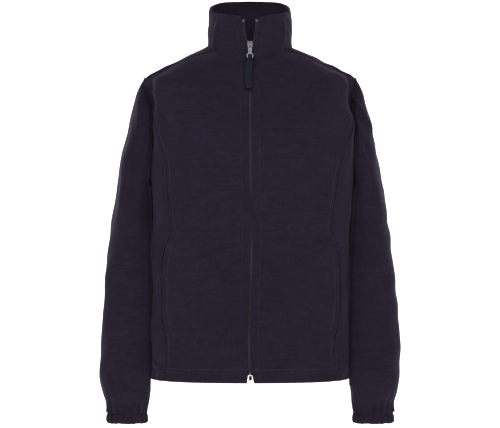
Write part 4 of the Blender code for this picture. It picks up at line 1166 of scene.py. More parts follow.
def draw_in(face: Points, back: Points, edges: Sequence[tuple[int, int]]) -> None:
    """Moves a wall's edges in by half the gap of a seam.

    Args:
        face: the outside of the wall, which is changed.
        back: its inside, which is changed too.
        edges: the axis and the number, 0 or -1, of each edge to move.
    """
    for axis, number in edges:
        inner = 1 if number == 0 else -2
        edge = np.take(face, number, axis=axis)
        along = unit(np.gradient(edge, axis=0))
        inward = np.take(face, inner, axis=axis) - edge
        inward = inward - (inward * along).sum(axis=-1, keepdims=True) * along
        move = unit(inward) * GAP / 2
        for grid in (face, back):
            spot = (slice(None), number) if axis else (number,)
            grid[spot] = grid[spot] + move


# ---------------------------------------------------------------- body panels


@dataclass
class BodyPanel:
    """A panel of fleece on the body, between two edges that seams join to its neighbours."""

    seams: Seams
    finish: Material
    step: float = GRID
    fine_edge: float = EDGE
    hem_run: float = 0.030
    hem_step: float = 0.00156

    def rows_up_to(self, level: float) -> Points:
        """Levels of the rows, close together at the turned-up hem."""
        return joined(spaced(0.0, self.hem_run, self.hem_step), spaced(self.hem_run, level, self.step))

    def columns(self, width: float) -> Points:
        """Shares of the way across a panel of this width, close together near its edges."""
        low, high = self.fine_edge, width - self.fine_edge
        return joined(spaced(0.0, low, FINE), spaced(low, high, self.step), spaced(high, width, FINE)) / width

    def build_panel(self, name: str, grid: Points, edges: Sequence[tuple[int, int]], cut: Cut,
                    lift: Points | None = None) -> Piece:
        """Makes the panel's wall.

        Args:
            name: the name of the node that it stands for.
            grid: the turns and levels of its points.
            edges: the edges that a seam joins, as draw_in takes them.
            cut: its flat size; not used.
            lift: how far the outside stands proud at each point.

        Returns:
            The piece.
        """
        turn, level = grid[..., 0], grid[..., 1]
        face, normal = BODY.dressed(turn, level, self.seams.lines)
        back = face - normal * BODY.thickness(level)[..., None]
        if lift is not None:
            face = face + normal * lift[..., None]
        draw_in(face, back, edges)
        wall = build_wall(f"fleece_{name}", face, back, self.finish, lips=(HEM_CLOTH / 4, 0.0))
        return place(wall, [name])


@dataclass
class FrontPanel(BodyPanel):
    """One front: from the zip to the princess seam, the armhole and the shoulder seam, with a pocket's lip."""

    fine_edge: float = 0.018
    width: float = 0.155
    lip: Span = (0.90, 0.985)
    lip_rise: float = 0.0022
    cut: Cut = Cut(0.190, 0.700, 0.106, ("back",))

    def build(self, side: Side) -> Piece:
        """Makes one front.

        Args:
            side: its side.

        Returns:
            The piece.
        """
        low = self.rows_up_to(PRINCESS_TOP)
        tip = spaced(PRINCESS_STOP, SHOULDER_SEAM_STOP, 3.0)
        outer = joined(BODY.princess(low), BODY.armhole(tip), BODY.shoulder_seam(38))
        upper = np.linspace(PRINCESS_TOP, NECK_LEVEL, len(outer) - len(low) + 1)
        shares = self.columns(self.width)
        grid = between(zip_edge(joined(low, upper), side), outer, shares)
        lip = smooth_step(*self.lip, shares)[None, :] * pocket_mouth(grid[..., 1]) * self.lip_rise
        seam_edge = -1 if side is Side.LEFT else 0
        lift = lip[:, ::side.value]
        return self.build_panel(f"front_{side.word}", for_side(grid, side), [(1, seam_edge), (0, -1)], self.cut, lift)


@dataclass
class SideFrontPanel(BodyPanel):
    """One side front: from the princess seam to the side seam, up to a point at the armhole."""

    mouth_gap: float = 0.0045
    width: float = 0.120
    tip: float = 0.65
    cut: Cut = Cut(0.150, 0.500, 0.052, ("back",))

    def build(self, side: Side) -> Piece:
        """Makes one side front.

        Args:
            side: its side.

        Returns:
            The piece.
        """
        low = self.rows_up_to(UNDERARM_LEVEL)
        high = spaced(UNDERARM_LEVEL, PRINCESS_TOP, 0.0029)
        inner = BODY.princess(joined(low, high))
        inner[:, 0] += pocket_mouth(inner[:, 1]) * math.degrees(self.mouth_gap / LOOPS.columns["half_width"][0])
        outer = joined(upright(SIDE_SEAM_TURN, low), BODY.armhole(np.linspace(0.0, PRINCESS_STOP, len(high))))
        grid = between(inner, outer, self.columns(self.width))
        grid[-1] = grid[-2] * (1 - self.tip) + grid[-1] * self.tip
        return self.build_panel(f"side_front_{side.word}", for_side(grid, side), [(1, 0), (1, -1)], self.cut)


@dataclass
class BackPanel(BodyPanel):
    """The back: from side seam to side seam, and forward over both shoulders."""

    step: float = 0.0046
    width: float = 0.480
    flow: float = 0.7
    cut: Cut = Cut(0.560, 0.740, 0.345)

    def build(self) -> Piece:
        """Makes the back.

        Returns:
            The piece.
        """
        low = self.rows_up_to(UNDERARM_LEVEL)
        hole = BODY.armhole(spaced(360.0, SHOULDER_SEAM_STOP, 3.5))
        left = joined(upright(SIDE_SEAM_TURN, low), hole, BODY.shoulder_seam(34))
        right = left * np.array([-1.0, 1.0]) + np.array([360.0, 0.0])
        shares = self.columns(self.width)
        grid = between(left, right, shares)
        centre = joined(low, np.linspace(UNDERARM_LEVEL, NECK_LEVEL, len(left) - len(low) + 1))
        weight = np.sin(np.pi * shares)[None, :].clip(0.0) ** self.flow
        grid[..., 1] = grid[..., 1] * (1 - weight) + centre[:, None] * weight
        return self.build_panel("back", grid, [(1, 0), (1, -1), (0, -1)], self.cut)


@dataclass
class PocketBag:
    """The flat knitted bag behind a front, seen through the pocket's mouth."""

    finish: Material
    cloth: float = 0.0014
    behind_front: float = 0.0017
    behind_side: float = 3.5
    reach: float = 21.0
    levels: Span = (0.050, 0.290)
    columns: int = 30
    cut: Cut = Cut(0.080, 0.245, 0.0185)

    def build(self, side: Side) -> Piece:
        """Makes one bag.

        Args:
            side: its side.

        Returns:
            The piece.
        """
        edge = BODY.princess(spaced(*self.levels, 0.004))
        inner, outer = upright(edge[:, 0].min() - self.reach, edge[:, 1]), edge + (self.behind_side, 0.0)
        grid = for_side(between(inner, outer, np.linspace(0.0, 1.0, self.columns)), side)
        turn, level = grid[..., 0], grid[..., 1]
        normal = BODY.normal(turn, level)
        face = BODY.face(turn, level) - normal * (CLOTH + self.behind_front)
        name = f"pocket_bag_{side.word}"
        piece = build_wall(f"knit_{name}", face, face - normal * self.cloth, self.finish)
        return place(piece, [name])


# ---------------------------------------------------------------- sleeves and cuffs


@dataclass(frozen=True)
class Gathers:
    """Cloth drawn up on elastic: uneven waves round the wrist."""

    seed: float
    count: int = 20
    sharpness: float = 0.8

    def wave(self, around: Points) -> Points:
        """The waves' height.

        Args:
            around: angles round the wrist, in radians.

        Returns:
            A height for each, about -1 to 1.
        """
        drift = 0.75 * np.sin(3 * around + self.seed) + 0.5 * np.sin(7 * around + 2.1 * self.seed + 0.4)
        size = 0.78 + 0.22 * np.sin(5 * around + 1.7 * self.seed)
        wave = np.sin(self.count * around + drift)
        return size * np.sign(wave) * np.abs(wave) ** self.sharpness


def even_rows(keys: Points, fine: float, coarse: float, fine_run: float) -> Points:
    """A grid with closely spaced rows, on smooth curves through the rows of a coarser one.

    Args:
        keys: the coarse grid of points.
        fine: the spacing of the first rows, in metres.
        coarse: the spacing of the others.
        fine_run: how far down the first spacing goes.

    Returns:
        The finer grid, with the coarse one's first and last row.
    """
    run = np.linalg.norm(np.diff(keys, axis=0), axis=-1).mean(axis=1)
    stations = np.concatenate([[0.0], np.cumsum(run)])
    return smooth_read(stations, keys, joined(spaced(0.0, fine_run, fine), spaced(fine_run, stations[-1], coarse)))


@dataclass
class Sleeve:
    """One sleeve, its head set into the armhole and its end gathered into the cuff."""

    finish: Material
    front_turns: Span = (15.0, 135.0)
    turn_steps: Span = (1.25, 2.4)
    steps: Span = (0.0026, 0.0040)
    fine_run: float = 0.200
    square: float = 0.06
    turn_length: float = 0.055
    fan_rings: float = 9.0
    seam_allowance: float = 0.00039
    underside: Span = (-0.2, -0.9)
    folded_from: float = 0.035
    creased_from: float = 0.012
    rippled_from: float = 0.03
    ripple: float = 0.0008
    gather_top: float = -0.640
    gather_depth: float = 0.0021
    gather_onset: float = 1.4
    pucker: float = 0.0009
    pucker_pitch: float = 0.024
    clear: float = 0.0004
    pressed: float = 0.020
    clear_levels: Span = (-0.645, -0.266)
    rounds: int = 8
    cut: Cut = Cut(0.420, 0.660, 0.225, ("back",), Held.GATHERED)

    def build(self, side: Side) -> Piece:
        """Makes one sleeve.

        Args:
            side: its side.

        Returns:
            The piece.
        """
        low, high = self.front_turns
        fine, coarse = self.turn_steps
        turns = joined(spaced(low, high, fine), spaced(high, low + 360.0, coarse))[:-1]
        rim, normal, into = self.armhole_rim(side, 180.0 - turns)
        shape = self.local_shape(rim, np.radians(turns))
        keys = [rim + (into + normal) * self.seam_allowance]
        keys += [self.ring_points(float(number), shape, np.radians(turns), side) for number in RINGS.stations]
        grid = even_rows(np.array(keys), *self.steps, self.fine_run)
        face, normals = self.dressed(grid, turns % 360.0, rim, into, side)
        face, back = for_side(face, side), for_side(face - normals * CLOTH, side)
        face[-1, :, 2] = back[-1, :, 2] = RINGS.columns["outer_z"][-1]
        name = f"sleeve_{side.word}"
        return place(build_wall(f"fleece_{name}", face, back, self.finish, ring=True), [name])

    def armhole_rim(self, side: Side, angles: Points) -> tuple[Points, Points, Points]:
        """The armhole on the body's own cloth, turned to the left.

        Args:
            side: the side whose folds it follows.
            angles: degrees round the armhole.

        Returns:
            Its points, the body's outward directions there, and the directions into the hole.
        """
        mirror = np.array([side.value, 1.0, 1.0])
        turn, level = BODY.armhole(angles).T
        rim = BODY.face(turn * side.value, level) * mirror
        normal = BODY.normal(turn * side.value, level) * mirror
        along = unit(np.roll(rim, -1, axis=0) - np.roll(rim, 1, axis=0))
        into = unit(np.cross(along, normal))
        return rim, normal, into * np.sign((into * (rim.mean(axis=0) - rim)).sum(axis=-1).mean())

    def ring_frame(self, outer: Points, inner: Points) -> tuple[Points, float, Points, Points]:
        """The line across a ring.

        Args:
            outer: its end on the outside of the sleeve.
            inner: its end beside the body.

        Returns:
            Its middle, half its length, its direction, and the direction square to it.
        """
        run = outer - inner
        length = float(np.linalg.norm(run))
        up = run / length
        return (outer + inner) / 2, length / 2, up, np.array([up[2], 0.0, -up[0]])

    def local_shape(self, rim: Points, around: Points) -> tuple[Points, Points, Points]:
        """The armhole's own shape.

        Args:
            rim: its points.
            around: radians round the sleeve, 0 at its outer edge.

        Returns:
            Shares of its length, shares of its depth, and distances out of its plane.
        """
        flat = np.array([1.0, 0.0, 1.0])
        top, low = rim[np.argmax(np.cos(around))] * flat, rim[np.argmin(np.cos(around))] * flat
        middle, half, up, out = self.ring_frame(top, low)
        depth = np.where(rim[:, 1] < 0, -rim[:, 1].min(), rim[:, 1].max())
        return (rim - middle) @ up / half, -rim[:, 1] / depth, (rim - middle) @ out

    def ring_points(self, number: float, shape: tuple[Points, Points, Points], around: Points,
                    side: Side) -> Points:
        """One ring, between the armhole's own shape at the top and a rounded one further down.

        Args:
            number: the ring's station in the table.
            shape: the armhole's shape.
            around: radians round the sleeve, 0 at its outer edge.
            side: the sleeve's side, for where the body beside it stands out.

        Returns:
            The ring's points, on the left.
        """
        ring = {name: float(RINGS.straight(name, number)) for name in RINGS.columns}
        sway = float(SIDE_SWAY.smooth("out", -ring["inner_z"])) if side is Side.LEFT else 0.0
        outer = np.array([ring["outer_x"], 0.0, ring["outer_z"]])
        inner = np.array([ring["inner_x"] + sway, 0.0, ring["inner_z"]])
        middle, half, up, out = self.ring_frame(outer, inner)
        rounded = float(smooth_step(0.0, self.fan_rings, number))
        boost = swell(self.square, around) * rounded
        along = shape[0] * (1 - rounded) + np.cos(around) * boost
        forward = shape[1] * (1 - rounded) + np.sin(around) * boost
        points = middle + np.outer(along * half, up) + np.outer(shape[2] * (1 - rounded), out)
        depth = np.where(forward > 0, ring["front"], ring["back"])
        points[:, 1] = ring["middle_y"] * rounded - forward * depth
        return points

    def dressed(self, grid: Points, turns: Points, rim: Points, into: Points, side: Side) -> tuple[Points, Points]:
        """The sleeve's outside with its folds, gathers and seams.

        Args:
            grid: the form's points, on the left.
            turns: degrees round the sleeve for each column.
            rim: the armhole's points.
            into: the directions into the armhole.
            side: the sleeve's side.

        Returns:
            The points, and the outward directions.
        """
        scale, z, outward = math.radians(1) * self.turn_length, grid[..., 2], np.cos(np.radians(turns))
        run = np.linalg.norm(grid - grid[0], axis=-1)
        outside = 1.0 - smooth_step(*self.underside, outward)[None, :]
        height = SLEEVE_FOLDS[side].lift(turns[None, :], z, scale) * smooth_step(0.0, self.folded_from, run) * outside
        fine = SLEEVE_CREASES[side].lift(turns[None, :], z, scale)
        height = height + fine * smooth_step(0.0, self.creased_from, run)
        ripple = Ripple(31 + side.value, self.ripple).lift(grid)
        height = height + ripple * smooth_step(0.0, self.rippled_from, run)
        gather = smooth_step(self.gather_top, float(RINGS.columns["outer_z"][-1]), z) ** self.gather_onset
        height = height + gather * self.gather_depth * Gathers(side.value).wave(np.radians(turns))[None, :]
        seam = even_path(np.concatenate([rim, rim[:1]]))
        for line in (
            Line(seam, ARMHOLE_SINK, SEAM_WIDTH),
            Line(seam, WELT, WELT_WIDTH, self.pucker, self.pucker_pitch),
            Line(even_path(grid[:, np.argmin(outward)]), SEAM_SINK, SEAM_WIDTH),
        ):
            height = height + line.lift(grid)
        face = self.clear_of_body(grid + grid_normals(grid) * height[..., None], side)
        normals = grid_normals(face)
        spill = (normals[0] * into).sum(axis=-1, keepdims=True).clip(0.0)
        normals[0] = unit(normals[0] - spill * into)
        return face, normals

    def clear_of_body(self, points: Points, side: Side) -> Points:
        """Lays the inner side of a left-hand sleeve against the body's side, outside its cloth.

        Args:
            points: the sleeve's points.
            side: the side whose folds the body has there.

        Returns:
            The points, moved where they came too near.
        """
        level = np.interp(points[..., 2], LOOPS.columns["side_z"], LOOPS.stations)
        depth = np.where(points[..., 1] < 0, LOOPS.straight("front", level), LOOPS.straight("back", level))
        square = LOOPS.straight("square", level)
        turn = np.full(level.shape, math.pi / 2)
        for _ in range(self.rounds):
            turn = np.arccos(np.clip(-points[..., 1] / (depth * swell(square, turn)), -1.0, 1.0))
        body, _ = BODY.dressed(side.value * np.degrees(turn), level)
        limit = np.abs(body[..., 0]) + self.clear
        apart = (points[..., 0] - limit).clip(0.0)
        apart = np.where(apart < self.pressed, apart**2 / self.pressed, apart)
        low, high = self.clear_levels
        beside = (points[..., 2] < high) & (points[..., 2] > low)
        moved = points.copy()
        moved[..., 0] = np.where(beside, limit + apart, points[..., 0])
        return moved


@dataclass
class Cuff:
    """The casing round the wrist's elastic: gathered at its stitch line and ruffled below it."""

    finish: Material
    columns: int = 300
    row: float = 0.0011
    top_z: float = -0.6938
    middle_y: float = -0.026
    depth: float = 0.0019
    held_at_top: float = 0.62
    fine_count: int = 47
    fine_depth: float = 0.00035
    stitch_drop: float = 0.0030
    stitch_width: float = 0.0013
    uneven: float = 0.0008
    cut: Cut = Cut(0.300, 0.0215, 0.0064, (), Held.GATHERED)

    def build(self, side: Side) -> Piece:
        """Makes one cuff.

        Args:
            side: its side.

        Returns:
            The piece.
        """
        around = np.arange(self.columns) * 2 * math.pi / self.columns
        drops = spaced(0.0, float(CUFF_RINGS.stations[-1]), self.row)
        share = (drops / drops[-1])[:, None]
        wave = Gathers(side.value).wave(around)[None, :] * self.depth
        wave = wave * (self.held_at_top + (1 - self.held_at_top) * smooth_step(0.1, 1.0, share))
        fine = Gathers(2.0 + side.value, self.fine_count).wave(around)[None, :] * self.fine_depth
        stitch = STITCH_SINK * bell(drops - self.stitch_drop, self.stitch_width)[:, None]
        wave = wave + fine * smooth_step(0.0, 0.3, share) + stitch
        walls = [self.rings(side, around, drops, wave, inset)[:, ::side.value] for inset in (0.0, HEM_CLOTH)]
        name = f"cuff_{side.word}"
        piece = build_wall(f"fleece_{name}", *walls, self.finish, ring=True, lips=(0.0, HEM_CLOTH / 4))
        return place(piece, [name])

    def rings(self, side: Side, around: Points, drops: Points, wave: Points, inset: float) -> Points:
        """The cuff's rings.

        Args:
            side: its side.
            around: radians round the wrist for each column.
            drops: metres down from the top for each ring.
            wave: how far the gathers lift the cloth.
            inset: how far the rings are moved in.

        Returns:
            A grid of points.
        """
        read = {name: CUFF_RINGS.smooth(name, drops)[:, None] for name in ("outer_x", "inner_x", "depth")}
        middle, half = (read["outer_x"] + read["inner_x"]) / 2, (read["outer_x"] - read["inner_x"]) / 2
        low = self.uneven * np.cos(6 * around + side.value) * smooth_step(0.5, 1.0, drops / drops[-1])[:, None]
        x = side.value * (middle + (half - inset + wave) * np.cos(around))
        y = self.middle_y - (read["depth"] - inset + wave) * np.sin(around)
        return np.stack([x, y, self.top_z - drops[:, None] + low.clip(0.0)], axis=-1)


# ---------------------------------------------------------------- stitches


BEAD_SHARES = (-1.0, -0.72, 0.0, 0.72, 1.0)
BEAD_TIP = 0.35


def bead(along: Points, across: Points, up: Points, plump: float, sides: int, rise: Points | float = 0.0) -> Points:
    """The rings of a small rod that thins towards its ends.

    Args:
        along: half its length, as a vector, or one for each of many rods.
        across: the radius of its middle ring one way.
        up: that radius the other way.
        plump: the size of the rings beside its ends.
        sides: how many points each ring has.
        rise: how far the middle ring stands up.

    Returns:
        The points, one ring after another.
    """
    rings = []
    for share, size in zip(BEAD_SHARES, (BEAD_TIP, plump, 1.0, plump, BEAD_TIP)):
        for angle in np.arange(sides) * 2 * math.pi / sides:
            rings.append(along * share + (across * math.cos(angle) + up * math.sin(angle) + rise) * size)
    return np.stack(rings, axis=-2)


@dataclass
class Stitches:
    """Rows of single sewn stitches, which stand proud of cloth where the lay is 1 and sink into it at -1."""

    finish: Material
    length: float = 0.0026
    pitch: float = 0.0033
    radius: float = 0.00034
    lay: float = 1.0
    flat: float = 0.8
    plump: float = 0.8
    rise: float = 0.9
    sunk: float = 0.35
    sides: int = 6
    reach: float = 0.006
    sharp: float = 80.0

    def build(self, name: str, paths: Sequence[Path], cloths: Sequence[Piece]) -> Piece:
        """Makes the stitches along some paths.

        Args:
            name: the piece's name.
            paths: lines near the cloth.
            cloths: the pieces that the stitches lie on.

        Returns:
            The piece.
        """
        trees = [BVHTree.FromPolygons([v.co for v in c.data.vertices], [p.vertices for p in c.data.polygons])
                 for c in cloths]
        points: list[Points] = []
        for path in paths:
            stations = even_path(path, self.pitch / 2)
            for k in range(0, len(stations) - 2, 2):
                hits = [self.on_cloth(Vector(stations[n]), trees) for n in (k, k + 1, k + 2)]
                if all(hits):
                    points.append(self.stitch(hits))
        faces = rod_faces(len(BEAD_SHARES), self.sides, len(points))
        return build_mesh(name, np.array(points), faces, self.finish, self.sharp)

    def on_cloth(self, point: Vector, trees: Sequence[BVHTree]) -> tuple[Points, Points] | None:
        """The place on the outside of the cloth that is nearest to a point.

        Args:
            point: the point.
            trees: the pieces of cloth.

        Returns:
            The place and the outward direction there, or nothing where no cloth is near.
        """
        found = [hit for hit in (tree.find_nearest(point, self.reach) for tree in trees) if hit[0] is not None]
        if not found:
            return None
        spot, normal, _, _ = min(found, key=lambda hit: hit[3])
        return np.array(spot), np.array(normal)

    def stitch(self, hits: Sequence[tuple[Points, Points]]) -> Points:
        """One stitch: thin where it goes into the cloth, and proud of it in the middle.

        Args:
            hits: the places and outward directions of its start, middle and end.

        Returns:
            Its points.
        """
        (start, _), (middle, normal), (end, _) = hits
        up, along = unit(normal) * self.lay * self.radius, unit(end - start)
        across, rise = np.cross(up, along), up * self.rise
        rings = bead(along * self.length / 2, across, up * self.flat, self.plump, self.sides, rise)
        return middle - up * self.sunk + rings


# ---------------------------------------------------------------- collar


@dataclass(frozen=True)
class CollarForm:
    """The collar's outside, from its seam at rise 0 to its upper edge at rise 1."""

    half_width: float = 0.0772
    front: float = 0.0880
    back: float = 0.0710
    corner_turn: float = 11.0
    corner_drop: float = 0.0040
    corner_width: float = 3.0
    bulge: float = 0.0016
    small_rise: float = 0.01

    def point(self, turn: Points, rise: Points) -> Points:
        """Points of the collar.

        Args:
            turn: degrees round it.
            rise: shares of its height.

        Returns:
            The points there.
        """
        turn, rise = np.broadcast_arrays(np.asarray(turn, float), np.asarray(rise, float))
        sine, cosine, off_centre = np.sin(np.radians(turn)), np.cos(np.radians(turn)), np.abs(signed(turn))
        corner = self.corner_drop * bell((off_centre - self.corner_turn).clip(0.0), self.corner_width)
        depth = np.where(cosine > 0, self.front, self.back)
        low = BODY.smooth_form(turn, NECK_LEVEL)
        high = np.stack([self.half_width * sine, -depth * cosine, RIM.smooth("z", off_centre) - corner], axis=-1)
        out = np.stack([sine, -cosine, np.zeros_like(sine)], axis=-1)
        bulge = self.bulge * np.sin(np.pi * rise)
        return low * (1 - rise[..., None]) + high * rise[..., None] + out * bulge[..., None]

    def normal(self, turn: Points, rise: Points) -> Points:
        """The outward direction at these turns and rises."""
        return surface_normal(self.point, turn, rise, self.small_rise)

    def turn_at(self, x: Points) -> Points:
        """The turn near the front whose rim lies at this x."""
        return np.degrees(np.arcsin(np.asarray(x) / self.half_width))

    def rise_at(self, z: float) -> float:
        """The rise at the centre front that has this height."""
        rises = np.linspace(0.0, 1.0, 200)
        return float(np.interp(z, self.point(0.0, rises)[:, 2], rises))


COLLAR = CollarForm()


@dataclass
class Collar:
    """The doubled stand collar, a C whose ends open in a V above the slider."""

    finish: Material
    columns: int = 260
    rows: int = 44
    end_run: float = 0.05
    end_step: float = 0.004
    height: float = 0.06
    turn_length: float = 0.0012
    stitch_inset: float = 0.0135
    stitch_pucker: float = 0.0003
    seam_width: float = 0.09
    puff: float = 0.0007
    puff_rise: float = 0.93
    puff_width: float = 0.06
    cut: Cut = Cut(0.470, 0.085, 0.034, ("back",))

    def edge(self, rises: Points) -> Points:
        """The turn of the left end of the collar at these rises."""
        return COLLAR.turn_at(V_EDGE.straight("x", COLLAR.point(0.0, rises)[..., 2]))

    def topstitch(self, side: Side) -> Path:
        """The stitch line beside one end, which carries on the front's."""
        rises = spaced(0.03, 0.90, 0.03)
        return even_path(COLLAR.point((self.edge(rises) + COLLAR.turn_at(self.stitch_inset)) * side.value, rises))

    def build(self) -> Piece:
        """Makes the collar.

        Returns:
            The piece.
        """
        rises = np.linspace(0.0, 1.0, self.rows)
        edge, near = self.edge(rises), spaced(0.0, self.end_run, self.end_step)
        middle = spaced(self.end_run, 1.0 - self.end_run, (1.0 - 2 * self.end_run) / self.columns)
        shares = joined(near, middle, 1.0 - near[::-1])
        grid = between(np.stack([edge, rises], axis=-1), np.stack([360.0 - edge, rises], axis=-1), shares)
        turn, rise = grid[..., 0], grid[..., 1]
        face, normal = COLLAR.point(turn, rise), COLLAR.normal(turn, rise)
        height = COLLAR_CREASES.lift(signed(turn), rise * self.height, self.turn_length)
        height = height + Ripple(57, 0.0003, longest=0.06, shortest=0.015).lift(face)
        for side in Side:
            line = Line(self.topstitch(side), ZIP_STITCH_SINK, STITCH_WIDTH, self.stitch_pucker)
            height = height + line.lift(face)
        height = height + NECK_LIFT * bell(rise, self.seam_width)
        puff = self.puff * bell(rise - self.puff_rise, self.puff_width)
        face = face + normal * (height + puff)[..., None]
        inner = 0.6 * height - 0.4 * puff + Ripple(58, 0.0006, longest=0.05).lift(face)
        back = face - normal * (COLLAR_CLOTH + 0.3 * inner)[..., None]
        draw_in(face, back, [(0, 0)])
        piece = build_wall("fleece_collar", face, back, self.finish, lips=(0.0, COLLAR_CLOTH / 3))
        return place(piece, ["collar"])


# ---------------------------------------------------------------- zip


@dataclass
class ZipHalf:
    """One half of the zip: a woven tape behind the cloth, and a row of teeth along its edge."""

    tape_finish: Material
    teeth_finish: Material
    low_level: float = 0.0135
    below_neck: float = 0.004
    top_z: float = 0.0362
    reach: float = 0.012
    tape: float = 0.0008
    tape_gap: float = 0.0005
    pitch: float = 0.0026
    tooth: Place = (0.0011, 0.0012, 0.0009)
    tooth_behind: float = -0.0002
    tooth_sides: int = 8
    plump: float = 0.85
    middle: float = 0.0009
    at_collar: float = 1.25
    to_collar: Span = (0.655, 0.671)
    sharp: float = 40.0
    cut: Cut = Cut(0.0125, 0.700, 0.0085, (), Held.STRETCHED)

    def stations(self) -> list[tuple[bool, float]]:
        """Where its sections lie.

        Returns:
            Whether each is on the collar, and its rise there or its level on the body.
        """
        low = [(False, float(level)) for level in spaced(self.low_level, NECK_LEVEL - self.below_neck, 0.004)]
        top = COLLAR.rise_at(self.top_z)
        return low + [(True, float(rise)) for rise in spaced(0.06, top, 0.045)]

    def section(self, side: Side, on_collar: bool, at: float, offsets: Sequence[Span]) -> Points:
        """Points of one section.

        Args:
            side: the half's side.
            on_collar: whether the section is on the collar.
            at: its level or rise.
            offsets: distances from the chain's middle, and behind the tape's face.

        Returns:
            A point for each pair.
        """
        points, place_at = [], np.array(at)
        for across, behind in offsets:
            if on_collar:
                x = float(V_CHAIN.straight("x", COLLAR.point(0.0, at)[2])) + across
                turn = np.array(side.value * float(COLLAR.turn_at(x)))
                point, normal, depth = COLLAR.point(turn, place_at), COLLAR.normal(turn, place_at), COLLAR_CLOTH
            else:
                x = side.value * (self.middle + across) + float(ZIP_DRIFT.smooth("x", at))
                turn = BODY.turn_at(np.array(x), place_at)
                point, normal = BODY.face(turn, place_at), BODY.normal(turn, place_at, plain=True)
                depth = float(BODY.thickness(place_at))
                depth += (COLLAR_CLOTH * self.at_collar - depth) * float(smooth_step(*self.to_collar, at))
            points.append(point - normal * (depth + self.tape_gap + behind))
        return np.array(points)

    def build(self, side: Side) -> list[Piece]:
        """Makes one half.

        Args:
            side: its side.

        Returns:
            Its tape and its teeth.
        """
        stations = self.stations()
        face, back = (
            np.array([
                self.section(side, *station, [(x, behind) for x in (0.0, self.reach / 2, self.reach)])
                for station in stations
            ])[:, ::side.value]
            for behind in (0.0, self.tape)
        )
        tape = build_wall(f"zip_tape_{side.word}", face, back, self.tape_finish)
        place(tape, [f"zip_{side.word}"])
        return [tape, place(self.build_teeth(side, stations))]

    def build_teeth(self, side: Side, stations: Sequence[tuple[bool, float]]) -> Piece:
        """Makes the row of teeth, each a rounded link across the edge, offset from the other half's.

        Args:
            side: the half's side.
            stations: where its sections lie.

        Returns:
            The piece.
        """
        offsets = [(0.0, self.tooth_behind), (0.001, self.tooth_behind)]
        line, beside = np.array([self.section(side, *station, offsets) for station in stations]).transpose(1, 0, 2)
        run = run_of(line)
        start = self.pitch * (0.5 if side is Side.LEFT else 1.0)
        at = np.arange(start, run[-1] - self.pitch / 2, self.pitch)
        middle, out = read_path(line, at, run), unit(read_path(beside - line, at, run))
        along = unit(np.gradient(middle, axis=0))
        front = np.cross(along, out)
        front = front * -np.sign(front[:, 1:2])
        wide, tall, deep = self.tooth
        rods = bead(out * wide, along * tall * side.value, front * deep, self.plump, self.tooth_sides)
        faces = rod_faces(len(BEAD_SHARES), self.tooth_sides, len(middle))
        points = middle[:, None, :] + rods
        return build_mesh(f"zip_teeth_{side.word}", points, faces, self.teeth_finish, self.sharp)


